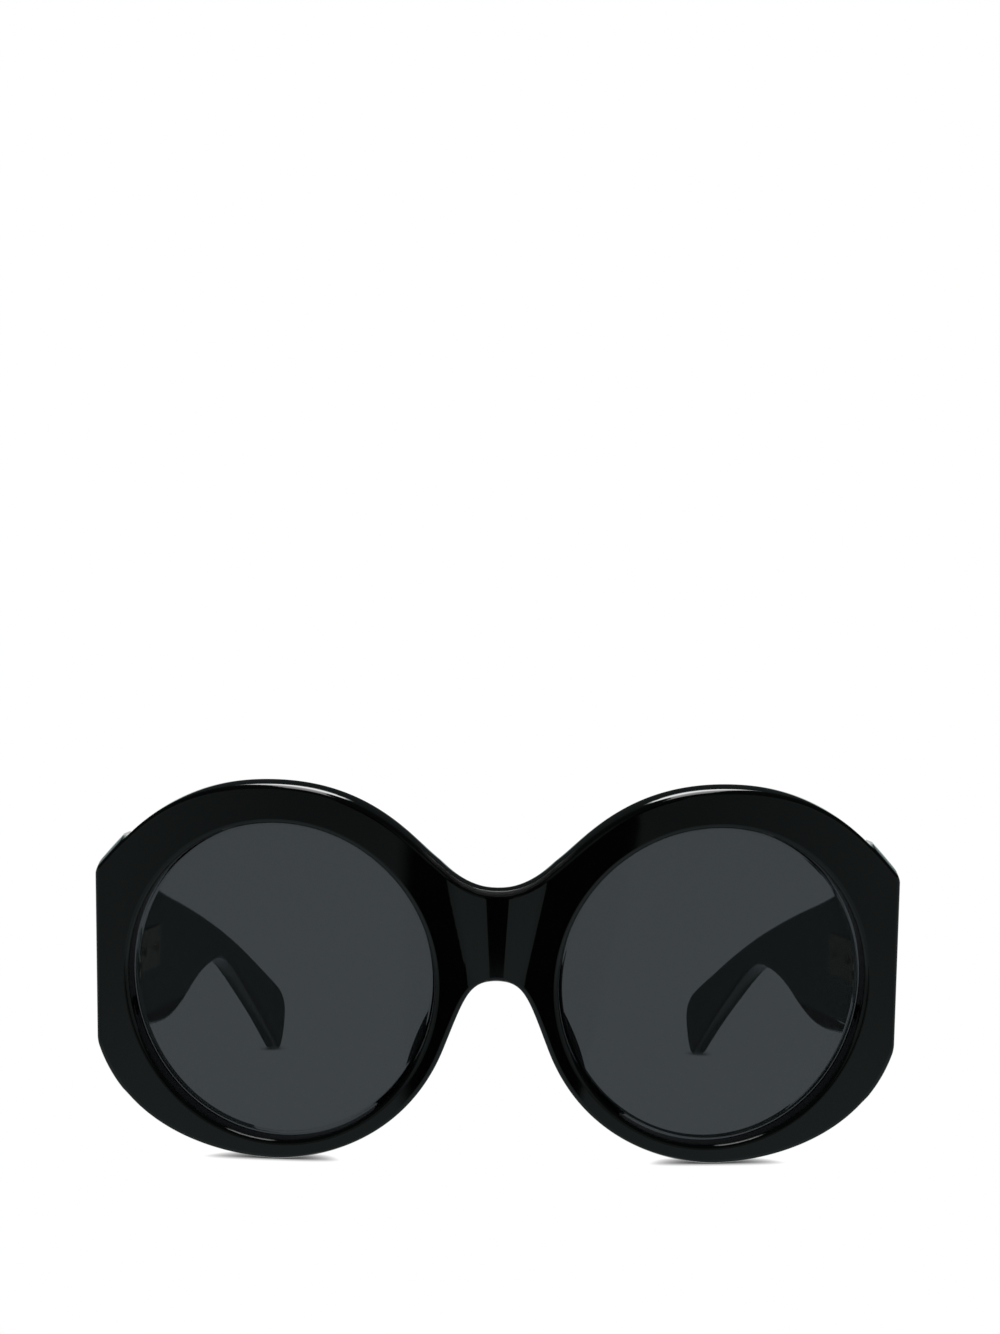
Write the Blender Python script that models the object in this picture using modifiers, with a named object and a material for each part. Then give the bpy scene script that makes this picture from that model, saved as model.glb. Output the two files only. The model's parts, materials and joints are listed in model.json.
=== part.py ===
"""Round sunglasses in thick sheet plastic, with folding temples, modelled at real size.

The front is drawn flat, like the sheet it is milled from, then bent to the face and
leant forward. The temples are drawn flat in side view and bowed in towards the ears.
Each side has a five-knuckle hinge with a sunk plate on the front's end block, a plate
on the temple's inner face, and a screw through the knuckles.

Axes: X to the right of someone who faces the front, Y from the front to the ears, Z up.
All sizes are in metres.
"""

import math

import bmesh
import bpy
import numpy as np
from mathutils import Matrix, Vector

OBJECT_NAME = "round_sunglasses"

# Sheet of the front. U runs out from the middle of the bridge, V up from the lowest edge.
SHEET_THICKNESS = 0.0064
EDGE_ROUND = 0.0009
CORNER_RADIUS = 0.0009

# Lens openings, and the widths of plastic that surround them.
OPENING_HALF_WIDTH = 0.02795
OPENING_HALF_HEIGHT = 0.02905
BRIDGE_HALF_WIDTH = 0.01125
RIM_FOOT_WIDTH = 0.00385
RIM_BROW_WIDTH = 0.00720
RIM_SIDE_WIDTH = 0.00645
LENS_U = BRIDGE_HALF_WIDTH + OPENING_HALF_WIDTH
LENS_V = RIM_FOOT_WIDTH + OPENING_HALF_HEIGHT

# Where the outline turns, measured from the openings.
RIM_TOP_SHIFT = 0.00105
RIM_FOOT_SHIFT = 0.0011
SIDE_TOP_RISE = 0.01875
SIDE_FOOT_DROP = 0.01340
BRIDGE_RISE = 0.0173
BRIDGE_HEIGHT = 0.01605
SADDLE_RISE = 0.0051
FLANK_DROP = 0.01285
SADDLE_U_SHARE = 0.916
FLANK_U_SHARE = 0.831
RIM_TOP_U = LENS_U + RIM_TOP_SHIFT
RIM_TOP_V = LENS_V + OPENING_HALF_HEIGHT + RIM_BROW_WIDTH
RIM_FOOT_U = LENS_U + RIM_FOOT_SHIFT
SIDE_U = LENS_U + OPENING_HALF_WIDTH + RIM_SIDE_WIDTH
SIDE_TOP_V = LENS_V + SIDE_TOP_RISE
SIDE_FOOT_V = LENS_V - SIDE_FOOT_DROP
BRIDGE_TOP_V = LENS_V + BRIDGE_RISE
ARCH_TOP_V = BRIDGE_TOP_V - BRIDGE_HEIGHT
SADDLE_U = BRIDGE_HALF_WIDTH * SADDLE_U_SHARE
SADDLE_V = BRIDGE_TOP_V + SADDLE_RISE
NOSE_FLANK_U = BRIDGE_HALF_WIDTH * FLANK_U_SHARE
NOSE_FLANK_V = ARCH_TOP_V - FLANK_DROP

# Headings of the outline where it is pulled, and how far each pull reaches.
SADDLE_HEADING = math.radians(39.5)
SIDE_TOP_HEADING = math.radians(-49)
SIDE_FOOT_HEADING = math.radians(-110)
NOSE_FLANK_HEADING = math.radians(111)
BRIDGE_PULL = 0.0059
SADDLE_PULL_IN = 0.0020
SADDLE_PULL_OUT = 0.00705
RIM_TOP_PULL_IN = 0.0170
RIM_TOP_PULL_OUT = 0.0179
SIDE_TOP_PULL = 0.0109
SIDE_FOOT_PULL = 0.0171
RIM_FOOT_PULL = 0.0080
NOSE_FLANK_PULL_IN = 0.0186
NOSE_FLANK_PULL_OUT = 0.0097
ARCH_PULL = 0.0050

# Lens in its groove.
LENS_THICKNESS = 0.0021
LENS_SHIFT = 0.0002
LENS_DEPTH = SHEET_THICKNESS / 2 + LENS_SHIFT
LENS_CLEARANCE = 0.00035
LENS_BEVEL = 0.0007
GROOVE_DEPTH = 0.0008

# Bend of the front in plan: a raised bridge, then the wrap round the face.
BRIDGE_BUMP_START = 0.0010
BRIDGE_BUMP_WIDTH = 0.0060
BRIDGE_BUMP_RAMP = 0.0010
BRIDGE_BUMP_ANGLE = math.radians(9)
WRAP_LAND = 0.00075
WRAP_RADIUS = 0.2070
WRAP_SQUARE_WIDTH = 0.0010
FRONT_LEAN = math.radians(10)
FRONT_DROP = 0.0005
BRIDGE_BUMP_END = BRIDGE_BUMP_START + BRIDGE_BUMP_WIDTH
WRAP_START = BRIDGE_HALF_WIDTH + WRAP_LAND

# End blocks behind the sides, milled level to the plane that the temples butt against.
BLOCK_MARGIN = 0.00145
BLOCK_DEPTH = 0.0150
BLOCK_OVERLAP = 0.0040
BLOCK_PROUD = 0.00003
BLOCK_LAND = 0.00094
SEAT_GAP = 0.0003
BLOCK_START = LENS_U + OPENING_HALF_WIDTH + BLOCK_MARGIN
WRAP_END = BLOCK_START - WRAP_SQUARE_WIDTH

# Temple in side view: its outline as shares of its length, and of its height at the joint.
TEMPLE_LENGTH = 0.1482
TEMPLE_THICKNESS = 0.0046
TEMPLE_TRIM = 0.0025
TEMPLE_TOE_IN = math.radians(4.7)
TEMPLE_BOW = math.radians(7.7)
TAPER_START_SHARE = 0.6
TAPER_SHARE = 0.26
TEMPLE_TURN = math.radians(1.0)
BROW_SHARES = (0.3036, 0.8029)
EAR_SHARES = (0.8232, 0.4165)
TIP_TOP_SHARES = (0.9771, 0.2507)
TIP_END_SHARES = (1.0, 0.1546)
TIP_FOOT_SHARES = (0.9663, 0.0000)
HOOK_SHARES = (0.7760, 0.2940)
NOTCH_SHARES = (0.5749, 0.4995)
CHEEK_SHARES = (0.4103, 0.4373)
BELLY_SHARES = (0.2497, 0.3581)

# Pulls of the temple's outline, in and out, as shares of its length.
BROW_PULL_SHARES = (0.0810, 0.1687)
EAR_PULL_SHARES = (0.1687, 0.0472)
TIP_TOP_PULL_SHARES = (0.0202, 0.0148)
TIP_END_PULL_SHARES = (0.0175, 0.0216)
TIP_FOOT_PULL_SHARES = (0.0135, 0.0094)
HOOK_PULL_SHARES = (0.1484, 0.0675)
NOTCH_PULL_SHARES = (0.0574, 0.0607)
CHEEK_PULL_SHARES = (0.0540, 0.0472)
BELLY_PULL_SHARES = (0.0607, 0.0810)
ROOT_PULL_SHARES = (0.0810, 0.1012)
ROOT_HEADING = math.radians(-15.5)
BROW_HEADING = math.radians(-10.8)
EAR_HEADING = math.radians(-19.8)
TIP_HEADING = math.radians(-38)
HOOK_HEADING = math.radians(-26.2)
CHEEK_HEADING = math.radians(16.4)

# Hinge: its axis is upright, just inside the temple's inner face.
HINGE_INSET = 0.0013
HINGE_SETBACK = 0.0023
HINGE_RISE = 0.0134
KNUCKLE_RADIUS = 0.00125
KNUCKLE_HEIGHT = 0.0012
KNUCKLE_GAP = 0.0003
KNUCKLE_COUNT = 5
KNUCKLE_EASE = 0.0003
NECK_WIDTH_SHARE = 0.88
NECK_EASE = 0.00006
ARM_BITE_SHARE = 0.7
HINGE_BORE_RADIUS = 0.00085
SCREW_RADIUS = 0.00055
SCREW_HEAD_RADIUS = 0.00090
SCREW_HEAD_HEIGHT = 0.0007
SCREW_TAIL = 0.0005
SLOT_WIDTH = 0.0004
SLOT_DEPTH = 0.0003
PLATE_MARGIN = 0.0003
PLATE_THICKNESS = 0.00075
PLATE_SINK = 0.00006
FRONT_PLATE_BORDER = 0.0010
PLATE_CLEARANCE = 0.00045
TEMPLE_PLATE_LENGTH = 0.0250
TEMPLE_PLATE_PROUD = 0.0004
KNUCKLE_STACK = KNUCKLE_HEIGHT * KNUCKLE_COUNT + KNUCKLE_GAP * (KNUCKLE_COUNT - 1)
PLATE_HEIGHT = KNUCKLE_STACK + PLATE_MARGIN * 2
TEMPLE_PLATE_START_T = HINGE_SETBACK + KNUCKLE_RADIUS + PLATE_CLEARANCE
TEMPLE_PLATE_END_T = TEMPLE_PLATE_START_T + TEMPLE_PLATE_LENGTH

# Pins through the plates into the plastic.
PIN_RADIUS = 0.0005
PIN_HOLE_RADIUS = 0.0008
PIN_LENGTH = 0.0030
PIN_HEAD_RADIUS = 0.0010
PIN_HEAD_HEIGHT = 0.0003
FRONT_PIN_BORDER = 0.0018
FRONT_PIN_RISE_SHARE = 0.32
TEMPLE_PIN_SHARES = (0.40, 0.85)
FRONT_PIN_RISE = PLATE_HEIGHT * FRONT_PIN_RISE_SHARE
TEMPLE_PIN_PLACES = [
    TEMPLE_PLATE_START_T + TEMPLE_PLATE_LENGTH * share for share in TEMPLE_PIN_SHARES
]

# Stiffening wire down the middle of the temple, on shares like the outline's.
CORE_RADIUS = 0.00075
CORE_CHANNEL_RADIUS = 0.00110
CORE_SETBACK = 0.0006
CORE_END_GAP = 0.0006
CORE_START_SHARE = 0.5466
CORE_MIDDLE_SHARES = (0.3374, 0.5881)
CORE_NECK_SHARES = (0.5803, 0.5560)
CORE_END_SHARES = (0.8637, 0.2733)

# Nose pads, glued behind the rims beside the arch.
PAD_SETBACK = 0.00215
PAD_DROP = 0.0107
PAD_STANDOFF = 0.0008
PAD_HALF_WIDTH = 0.0024
PAD_HALF_HEIGHT = 0.0088
PAD_HALF_DEPTH = 0.0046
PAD_LEAN = math.radians(23)
PAD_U = BRIDGE_HALF_WIDTH + PAD_SETBACK
PAD_V = LENS_V - PAD_DROP
PAD_DEPTH = SHEET_THICKNESS + PAD_STANDOFF

# Fineness of the mesh.
OUTLINE_STEPS = 8
OPENING_CURVE_STEPS = 16
OPENING_STEPS = 64
ROUND_STEPS = 16
PAD_RINGS = 12
WIRE_ROUND_STEPS = 2
WIRE_STEPS = 6
WRAP_STRIPS = 5
BOW_STRIPS = 12
EDGE_ROUND_STEPS = 1
PLAN_STEPS = 1000
WELD = 0.000001
SMOOTH_ANGLE = math.radians(30)
HALF_SHARE = 0.5
THIRD_SHARE = 1 / 3

# Longer than any cut has to be.
FAR = SIDE_U + TEMPLE_LENGTH

PLASTIC_COLOUR = (0.006, 0.006, 0.007)
LENS_COLOUR = (0.02, 0.022, 0.024)
PALE_GOLD = (0.78, 0.62, 0.36)
STEEL_COLOUR = (0.62, 0.62, 0.62)


# Scene helpers.
def clear_scene():
    for obj in list(bpy.data.objects):
        bpy.data.objects.remove(obj, do_unlink=True)


def new_collection(name, hidden=False):
    collection = bpy.data.collections.new(name)
    collection.hide_render = hidden
    bpy.context.scene.collection.children.link(collection)
    return collection


def new_material(name, colour, roughness, metallic):
    material = bpy.data.materials.new(name)
    material.use_nodes = True
    shader = material.node_tree.nodes["Principled BSDF"]
    shader.inputs["Base Color"].default_value = (*colour, 1.0)
    shader.inputs["Roughness"].default_value = roughness
    shader.inputs["Metallic"].default_value = metallic
    material.diffuse_color = (*colour, 1.0)
    return material


def new_object(name, mesh, collection):
    obj = bpy.data.objects.new(name, mesh)
    collection.objects.link(obj)
    return obj


def baked_mesh(obj):
    """The object's evaluated mesh, welded, in world space. The object is removed."""
    bpy.context.view_layer.update()
    graph = bpy.context.evaluated_depsgraph_get()
    mesh = bpy.data.meshes.new_from_object(obj.evaluated_get(graph))
    mesh.transform(obj.matrix_world)
    bm = bmesh.new()
    bm.from_mesh(mesh)
    bmesh.ops.remove_doubles(bm, verts=bm.verts, dist=WELD)
    bm.to_mesh(mesh)
    bm.free()
    bpy.data.objects.remove(obj, do_unlink=True)
    return mesh


def boolean(obj, other, operation):
    modifier = obj.modifiers.new(operation.lower(), "BOOLEAN")
    modifier.operation = operation
    modifier.solver = "EXACT"
    modifier.object = other


def smooth_round(mesh):
    mesh.shade_smooth()
    mesh.set_sharp_from_angle(angle=SMOOTH_ANGLE)


def mirrored(mesh, name):
    """A copy of the mesh on the other side of the middle."""
    copy = mesh.copy()
    copy.name = name
    copy.transform(Matrix.Scale(-1, 4, Vector((1, 0, 0))))
    copy.flip_normals()
    return copy


def box_mesh(name, low, high):
    bm = bmesh.new()
    bmesh.ops.create_cube(bm, size=1.0)
    size = Vector(high) - Vector(low)
    middle = (Vector(high) + Vector(low)) * HALF_SHARE
    matrix = Matrix.Translation(middle) @ Matrix.Diagonal(size.to_4d())
    bmesh.ops.transform(bm, matrix=matrix, verts=bm.verts)
    mesh = bpy.data.meshes.new(name)
    bm.to_mesh(mesh)
    bm.free()
    return mesh


def rod_mesh(name, radius, length, matrix):
    """A cylinder that starts at the matrix's origin and runs along its Z."""
    bm = bmesh.new()
    bmesh.ops.create_cone(
        bm,
        cap_ends=True,
        segments=ROUND_STEPS,
        radius1=radius,
        radius2=radius,
        depth=length,
        matrix=matrix @ Matrix.Translation((0, 0, length * HALF_SHARE)),
    )
    mesh = bpy.data.meshes.new(name)
    bm.to_mesh(mesh)
    bm.free()
    return mesh


def turned_mesh(name, profile, steps, stretch):
    """A profile of (radius, height) points turned about Z, then stretched along Y."""
    bm = bmesh.new()
    points = [bm.verts.new((radius, 0, height)) for radius, height in profile]
    for first, second in zip(points, points[1:]):
        bm.edges.new((first, second))
    if profile[0][0] > 0:
        bm.edges.new((points[-1], points[0]))
    outline = bpy.data.meshes.new(name)
    bm.to_mesh(outline)
    bm.free()
    obj = new_object(name, outline, bpy.context.scene.collection)
    screw = obj.modifiers.new("turn", "SCREW")
    screw.steps = steps
    screw.render_steps = steps
    screw.use_merge_vertices = True
    screw.merge_threshold = WELD
    screw.use_normal_calculate = True
    mesh = baked_mesh(obj)
    mesh.transform(Matrix.Diagonal((1, stretch, 1, 1)))
    return face_out(mesh)


def face_out(mesh):
    bm = bmesh.new()
    bm.from_mesh(mesh)
    bmesh.ops.recalc_face_normals(bm, faces=bm.faces)
    bm.to_mesh(mesh)
    bm.free()
    return mesh


# Flat outlines.
class Anchor:
    """A point of an outline, with its heading in and out and how far each pulls."""

    def __init__(self, point, heading, pull, heading_out=None, pull_out=None):
        self.point = Vector((*point, 0))
        self.heading = heading
        self.pull = pull
        self.heading_out = heading if heading_out is None else heading_out
        self.pull_out = pull if pull_out is None else pull_out

    def handles(self):
        into = Vector((math.cos(self.heading), math.sin(self.heading), 0))
        out = Vector((math.cos(self.heading_out), math.sin(self.heading_out), 0))
        return self.point - into * self.pull, self.point + out * self.pull_out

    def mirrored(self):
        point = (-self.point.x, self.point.y)
        return Anchor(point, -self.heading_out, self.pull_out, -self.heading, self.pull)


def rounded_corner(point, heading_in, pull_in, heading_out, pull_out):
    """Two anchors in place of a corner, with a small arc between them."""
    corner = Vector(point)
    into = Vector((math.cos(heading_in), math.sin(heading_in)))
    out = Vector((math.cos(heading_out), math.sin(heading_out)))
    arc = CORNER_RADIUS * HALF_SHARE
    before = Anchor(corner - into * CORNER_RADIUS, heading_in, pull_in, pull_out=arc)
    after = Anchor(corner + out * CORNER_RADIUS, heading_out, arc, pull_out=pull_out)
    return [before, after]


def ellipse_anchors(u, v, half_width, half_height):
    """Four anchors anticlockwise, so that the loop is a hole in a clockwise outline."""
    pull_share = 4 * (math.sqrt(2) - 1) * THIRD_SHARE
    across = half_width * pull_share
    up = half_height * pull_share
    return [
        Anchor((u + half_width, v), math.pi / 2, up),
        Anchor((u, v + half_height), math.pi, across),
        Anchor((u - half_width, v), -math.pi / 2, up),
        Anchor((u, v - half_height), 0, across),
    ]


def sheet_mesh(name, loops, thickness, edge_round, swell=0.0):
    """Closed loops of (anchors, steps) as a flat sheet about Z = 0, with rounded edges."""
    curve = bpy.data.curves.new(name, "CURVE")
    curve.dimensions = "2D"
    curve.fill_mode = "BOTH"
    curve.extrude = thickness * HALF_SHARE - edge_round
    curve.bevel_depth = edge_round
    curve.bevel_resolution = EDGE_ROUND_STEPS
    curve.offset = swell - edge_round
    for anchors, steps in loops:
        spline = curve.splines.new("BEZIER")
        spline.bezier_points.add(len(anchors) - 1)
        spline.use_cyclic_u = True
        spline.resolution_u = steps
        for point, anchor in zip(spline.bezier_points, anchors):
            point.handle_left_type = "FREE"
            point.handle_right_type = "FREE"
            point.co = anchor.point
            point.handle_left, point.handle_right = anchor.handles()
    return face_out(baked_mesh(new_object(name, curve, bpy.context.scene.collection)))


def sliced(mesh, axis, places):
    """Cuts edges into the mesh where it will bend, and splits its flat faces up."""
    normal = Vector((0, 0, 0))
    normal[axis] = 1
    bm = bmesh.new()
    bm.from_mesh(mesh)
    for place in places:
        bmesh.ops.bisect_plane(
            bm,
            geom=bm.verts[:] + bm.edges[:] + bm.faces[:],
            dist=WELD,
            plane_co=normal * place,
            plane_no=normal,
        )
    bmesh.ops.triangulate(bm, faces=bm.faces)
    bm.to_mesh(mesh)
    bm.free()
    return mesh


def mapped(mesh, rule):
    """Moves each vertex by the rule. The rule keeps handedness, so faces stay outward."""
    for vertex in mesh.vertices:
        vertex.co = rule(vertex.co)
    mesh.update()
    return mesh


# Bends in plan.
def ramp(value, start, end):
    return min(max((value - start) / (end - start), 0.0), 1.0)


def front_heading(u):
    """Heading of the front's face in plan, backwards from straight across."""
    rise = ramp(u, BRIDGE_BUMP_START, BRIDGE_BUMP_START + BRIDGE_BUMP_RAMP)
    fall = ramp(u, BRIDGE_BUMP_END - BRIDGE_BUMP_RAMP, BRIDGE_BUMP_END)
    wrap = max(u - WRAP_START, 0.0) / WRAP_RADIUS
    return BRIDGE_BUMP_ANGLE * (rise - fall) + wrap


def temple_heading(t):
    """Heading of the temple in plan, inwards from straight back."""
    return TEMPLE_TOE_IN + TEMPLE_BOW * t / TEMPLE_LENGTH


class PlanCurve:
    """A curve in plan from its heading: how far along and how far aside it has gone."""

    def __init__(self, heading):
        step = FAR / PLAN_STEPS
        self.distance = np.linspace(0, FAR, PLAN_STEPS + 1)
        middles = self.distance[:-1] + step * HALF_SHARE
        angles = np.array([heading(float(middle)) for middle in middles])
        self.along = np.concatenate([[0], np.cumsum(np.cos(angles))]) * step
        self.aside = np.concatenate([[0], np.cumsum(np.sin(angles))]) * step

    def at(self, distance):
        along = np.interp(distance, self.distance, self.along)
        aside = np.interp(distance, self.distance, self.aside)
        return float(along), float(aside)


FRONT_PLAN = PlanCurve(front_heading)
FRONT_PLAN_BUMP = FRONT_PLAN.at(WRAP_START)[1]
TEMPLE_PLAN = PlanCurve(temple_heading)
LEAN = Matrix.Rotation(FRONT_LEAN, 3, "X")


def front_point(u, v, depth):
    """World point of the bent sheet, at a depth behind its face."""
    reach = abs(u)
    side = 1 if u >= 0 else -1
    along, aside = FRONT_PLAN.at(reach)
    wrapped = ramp(reach, WRAP_START - WELD, WRAP_START)
    square = ramp(reach, WRAP_END, BLOCK_START)
    turn = front_heading(reach) * wrapped * (1 - square)
    within = min(depth, SHEET_THICKNESS)
    across = along - within * math.sin(turn)
    back = aside - FRONT_PLAN_BUMP + within * math.cos(turn)
    point = LEAN @ Vector((side * across, back, v))
    point.z -= FRONT_DROP
    point.y += depth - within
    return point


def front_rule(co):
    """From the flat sheet, whose face is up, to its place."""
    return front_point(co.x, co.y, -co.z)


# Places that follow from the bent front: where each temple meets it, and its hinge.
SIDE_TOP = front_point(SIDE_U, SIDE_TOP_V, SHEET_THICKNESS)
SIDE_FOOT = front_point(SIDE_U, SIDE_FOOT_V, SHEET_THICKNESS)
MITRE_Y = SIDE_FOOT.y + BLOCK_LAND
TEMPLE_OUTER_X = SIDE_TOP.x
HINGE_X = TEMPLE_OUTER_X - TEMPLE_THICKNESS - HINGE_INSET
HINGE_Y = MITRE_Y + HINGE_SETBACK
HINGE_Z = SIDE_FOOT.z + HINGE_RISE
FRONT_PLATE_END_X = TEMPLE_OUTER_X - FRONT_PLATE_BORDER
FRONT_PIN_X = FRONT_PLATE_END_X - FRONT_PIN_BORDER
FRONT_PLATE_BACK = MITRE_Y - PLATE_SINK


def temple_point(t, z, inset):
    """World point of the bowed right temple, at an inset from its outer face."""
    back, inward = TEMPLE_PLAN.at(max(t, 0))
    heading = temple_heading(max(t, 0))
    lead = min(t, 0)
    inset *= 1 - TAPER_SHARE * ramp(t, TEMPLE_LENGTH * TAPER_START_SHARE, TEMPLE_LENGTH)
    inward += lead * math.sin(heading) + inset * math.cos(heading)
    back += lead * math.cos(heading) - inset * math.sin(heading)
    return Vector((TEMPLE_OUTER_X - inward, MITRE_Y + SEAT_GAP + back, z))


def temple_rule(co):
    """From the flat temple, whose outer face is up, to its place."""
    return temple_point(co.x, co.y, -co.z)


def shifted(mesh, x, y, z):
    mesh.transform(Matrix.Translation((x, y, z)))
    return mesh


# Front, lenses and pads.
def front_anchors():
    right = [
        Anchor((SADDLE_U, SADDLE_V), SADDLE_HEADING, SADDLE_PULL_IN, pull_out=SADDLE_PULL_OUT),
        Anchor((RIM_TOP_U, RIM_TOP_V), 0, RIM_TOP_PULL_IN, pull_out=RIM_TOP_PULL_OUT),
        *rounded_corner(
            (SIDE_U, SIDE_TOP_V), SIDE_TOP_HEADING, SIDE_TOP_PULL, -math.pi / 2, CORNER_RADIUS
        ),
        *rounded_corner(
            (SIDE_U, SIDE_FOOT_V), -math.pi / 2, CORNER_RADIUS, SIDE_FOOT_HEADING, SIDE_FOOT_PULL
        ),
        Anchor((RIM_FOOT_U, 0), -math.pi, RIM_FOOT_PULL),
        Anchor(
            (NOSE_FLANK_U, NOSE_FLANK_V),
            NOSE_FLANK_HEADING,
            NOSE_FLANK_PULL_IN,
            pull_out=NOSE_FLANK_PULL_OUT,
        ),
    ]
    top = Anchor((0, BRIDGE_TOP_V), 0, BRIDGE_PULL)
    arch = Anchor((0, ARCH_TOP_V), math.pi, ARCH_PULL)
    left = [anchor.mirrored() for anchor in reversed(right)]
    clockwise = [top, *right, arch, *left]
    return clockwise


def block_mesh():
    """Both end blocks, flat: the sheet's outline, made deeper beyond the openings."""
    deep = sheet_mesh(
        "block",
        [(front_anchors(), OUTLINE_STEPS)],
        SHEET_THICKNESS + BLOCK_DEPTH - BLOCK_OVERLAP,
        0,
        swell=BLOCK_PROUD,
    )
    shifted(deep, 0, 0, -(SHEET_THICKNESS + BLOCK_DEPTH + BLOCK_OVERLAP) * HALF_SHARE)
    block = new_object("block", deep, bpy.context.scene.collection)
    trims = [
        box_mesh("middle", (-BLOCK_START, -FAR, -FAR), (BLOCK_START, FAR, FAR)),
        box_mesh("under", (-FAR, -FAR, -FAR), (FAR, SIDE_FOOT_V, FAR)),
    ]
    helpers = [new_object("trim", trim, bpy.context.scene.collection) for trim in trims]
    for helper in helpers:
        boolean(block, helper, "DIFFERENCE")
    mesh = baked_mesh(block)
    for helper in helpers:
        bpy.data.objects.remove(helper, do_unlink=True)
    return mesh


def front_strips():
    bridge = [
        BRIDGE_BUMP_START,
        BRIDGE_BUMP_START + BRIDGE_BUMP_RAMP,
        BRIDGE_BUMP_END - BRIDGE_BUMP_RAMP,
        BRIDGE_BUMP_END,
    ]
    step = (WRAP_END - WRAP_START) / WRAP_STRIPS
    wrap = [WRAP_START + step * count for count in range(WRAP_STRIPS + 1)]
    right = [*bridge, *wrap, BLOCK_START]
    return [0.0, *right, *[-place for place in right]]


def front_mesh():
    sizes = (OPENING_HALF_WIDTH, OPENING_HALF_HEIGHT)
    openings = [
        (ellipse_anchors(side * LENS_U, LENS_V, *sizes), OPENING_CURVE_STEPS)
        for side in (1, -1)
    ]
    flat = sheet_mesh(
        "front",
        [(front_anchors(), OUTLINE_STEPS), *openings],
        SHEET_THICKNESS,
        EDGE_ROUND,
    )
    shifted(flat, 0, 0, -SHEET_THICKNESS * HALF_SHARE)
    front = new_object("front", flat, bpy.context.scene.collection)
    helpers = [new_object("blocks", block_mesh(), bpy.context.scene.collection)]
    boolean(front, helpers[0], "UNION")
    inner = OPENING_HALF_WIDTH - LENS_CLEARANCE
    outer = OPENING_HALF_WIDTH + GROOVE_DEPTH
    half = outer - inner
    groove = [(inner, half), (outer, 0), (inner, -half)]
    stretch = OPENING_HALF_HEIGHT / OPENING_HALF_WIDTH
    for side in (1, -1):
        ring = turned_mesh("groove", groove, OPENING_STEPS, stretch)
        shifted(ring, side * LENS_U, LENS_V, -LENS_DEPTH)
        helpers.append(new_object("groove", ring, bpy.context.scene.collection))
        boolean(front, helpers[-1], "DIFFERENCE")
    mesh = baked_mesh(front)
    for helper in helpers:
        bpy.data.objects.remove(helper, do_unlink=True)
    sliced(mesh, 2, [-SHEET_THICKNESS])
    sliced(mesh, 0, front_strips())
    return mapped(mesh, front_rule)


def lens_mesh():
    """The right lens, flat, with a ridge round its edge for the groove, then bent."""
    half = LENS_THICKNESS * HALF_SHARE
    rim = OPENING_HALF_WIDTH - LENS_CLEARANCE
    profile = [
        (0, half),
        (rim, half),
        (rim, LENS_BEVEL),
        (rim + LENS_BEVEL, 0),
        (rim, -LENS_BEVEL),
        (rim, -half),
        (0, -half),
    ]
    stretch = OPENING_HALF_HEIGHT / OPENING_HALF_WIDTH
    mesh = turned_mesh("lens", profile, OPENING_STEPS, stretch)
    shifted(mesh, LENS_U, LENS_V, -LENS_DEPTH)
    sliced(mesh, 0, [place for place in front_strips() if place > 0])
    return mapped(mesh, front_rule)


def pad_mesh():
    """The right nose pad: an egg, flat where it is glued, bent with the front."""
    bm = bmesh.new()
    bmesh.ops.create_uvsphere(bm, u_segments=ROUND_STEPS, v_segments=PAD_RINGS, radius=1)
    size = Matrix.Diagonal((PAD_HALF_WIDTH, PAD_HALF_DEPTH, PAD_HALF_HEIGHT, 1))
    stand = Matrix.Rotation(-math.pi / 2, 4, "X")
    lean = Matrix.Rotation(PAD_LEAN, 4, "Z")
    place = Matrix.Translation((PAD_U, PAD_V, -PAD_DEPTH))
    bmesh.ops.transform(bm, matrix=place @ lean @ stand @ size, verts=bm.verts)
    seat = Vector((0, 0, -(SHEET_THICKNESS + SEAT_GAP)))
    cut = bmesh.ops.bisect_plane(
        bm,
        geom=bm.verts[:] + bm.edges[:] + bm.faces[:],
        dist=WELD,
        plane_co=seat,
        plane_no=Vector((0, 0, 1)),
        clear_outer=True,
    )
    rim = [item for item in cut["geom_cut"] if isinstance(item, bmesh.types.BMEdge)]
    bmesh.ops.holes_fill(bm, edges=rim)
    mesh = bpy.data.meshes.new("pad")
    bm.to_mesh(mesh)
    bm.free()
    return mapped(face_out(mesh), front_rule)


# Temples and what is in them.
def placed(shares):
    """T and Z of a point given in shares of the temple's length and height."""
    return shares[0] * TEMPLE_LENGTH, shares[1] * SIDE_TOP.z


def temple_anchor(shares, heading, pull_shares):
    pull, pull_out = [share * TEMPLE_LENGTH for share in pull_shares]
    return Anchor(placed(shares), heading, pull, pull_out=pull_out)


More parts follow.
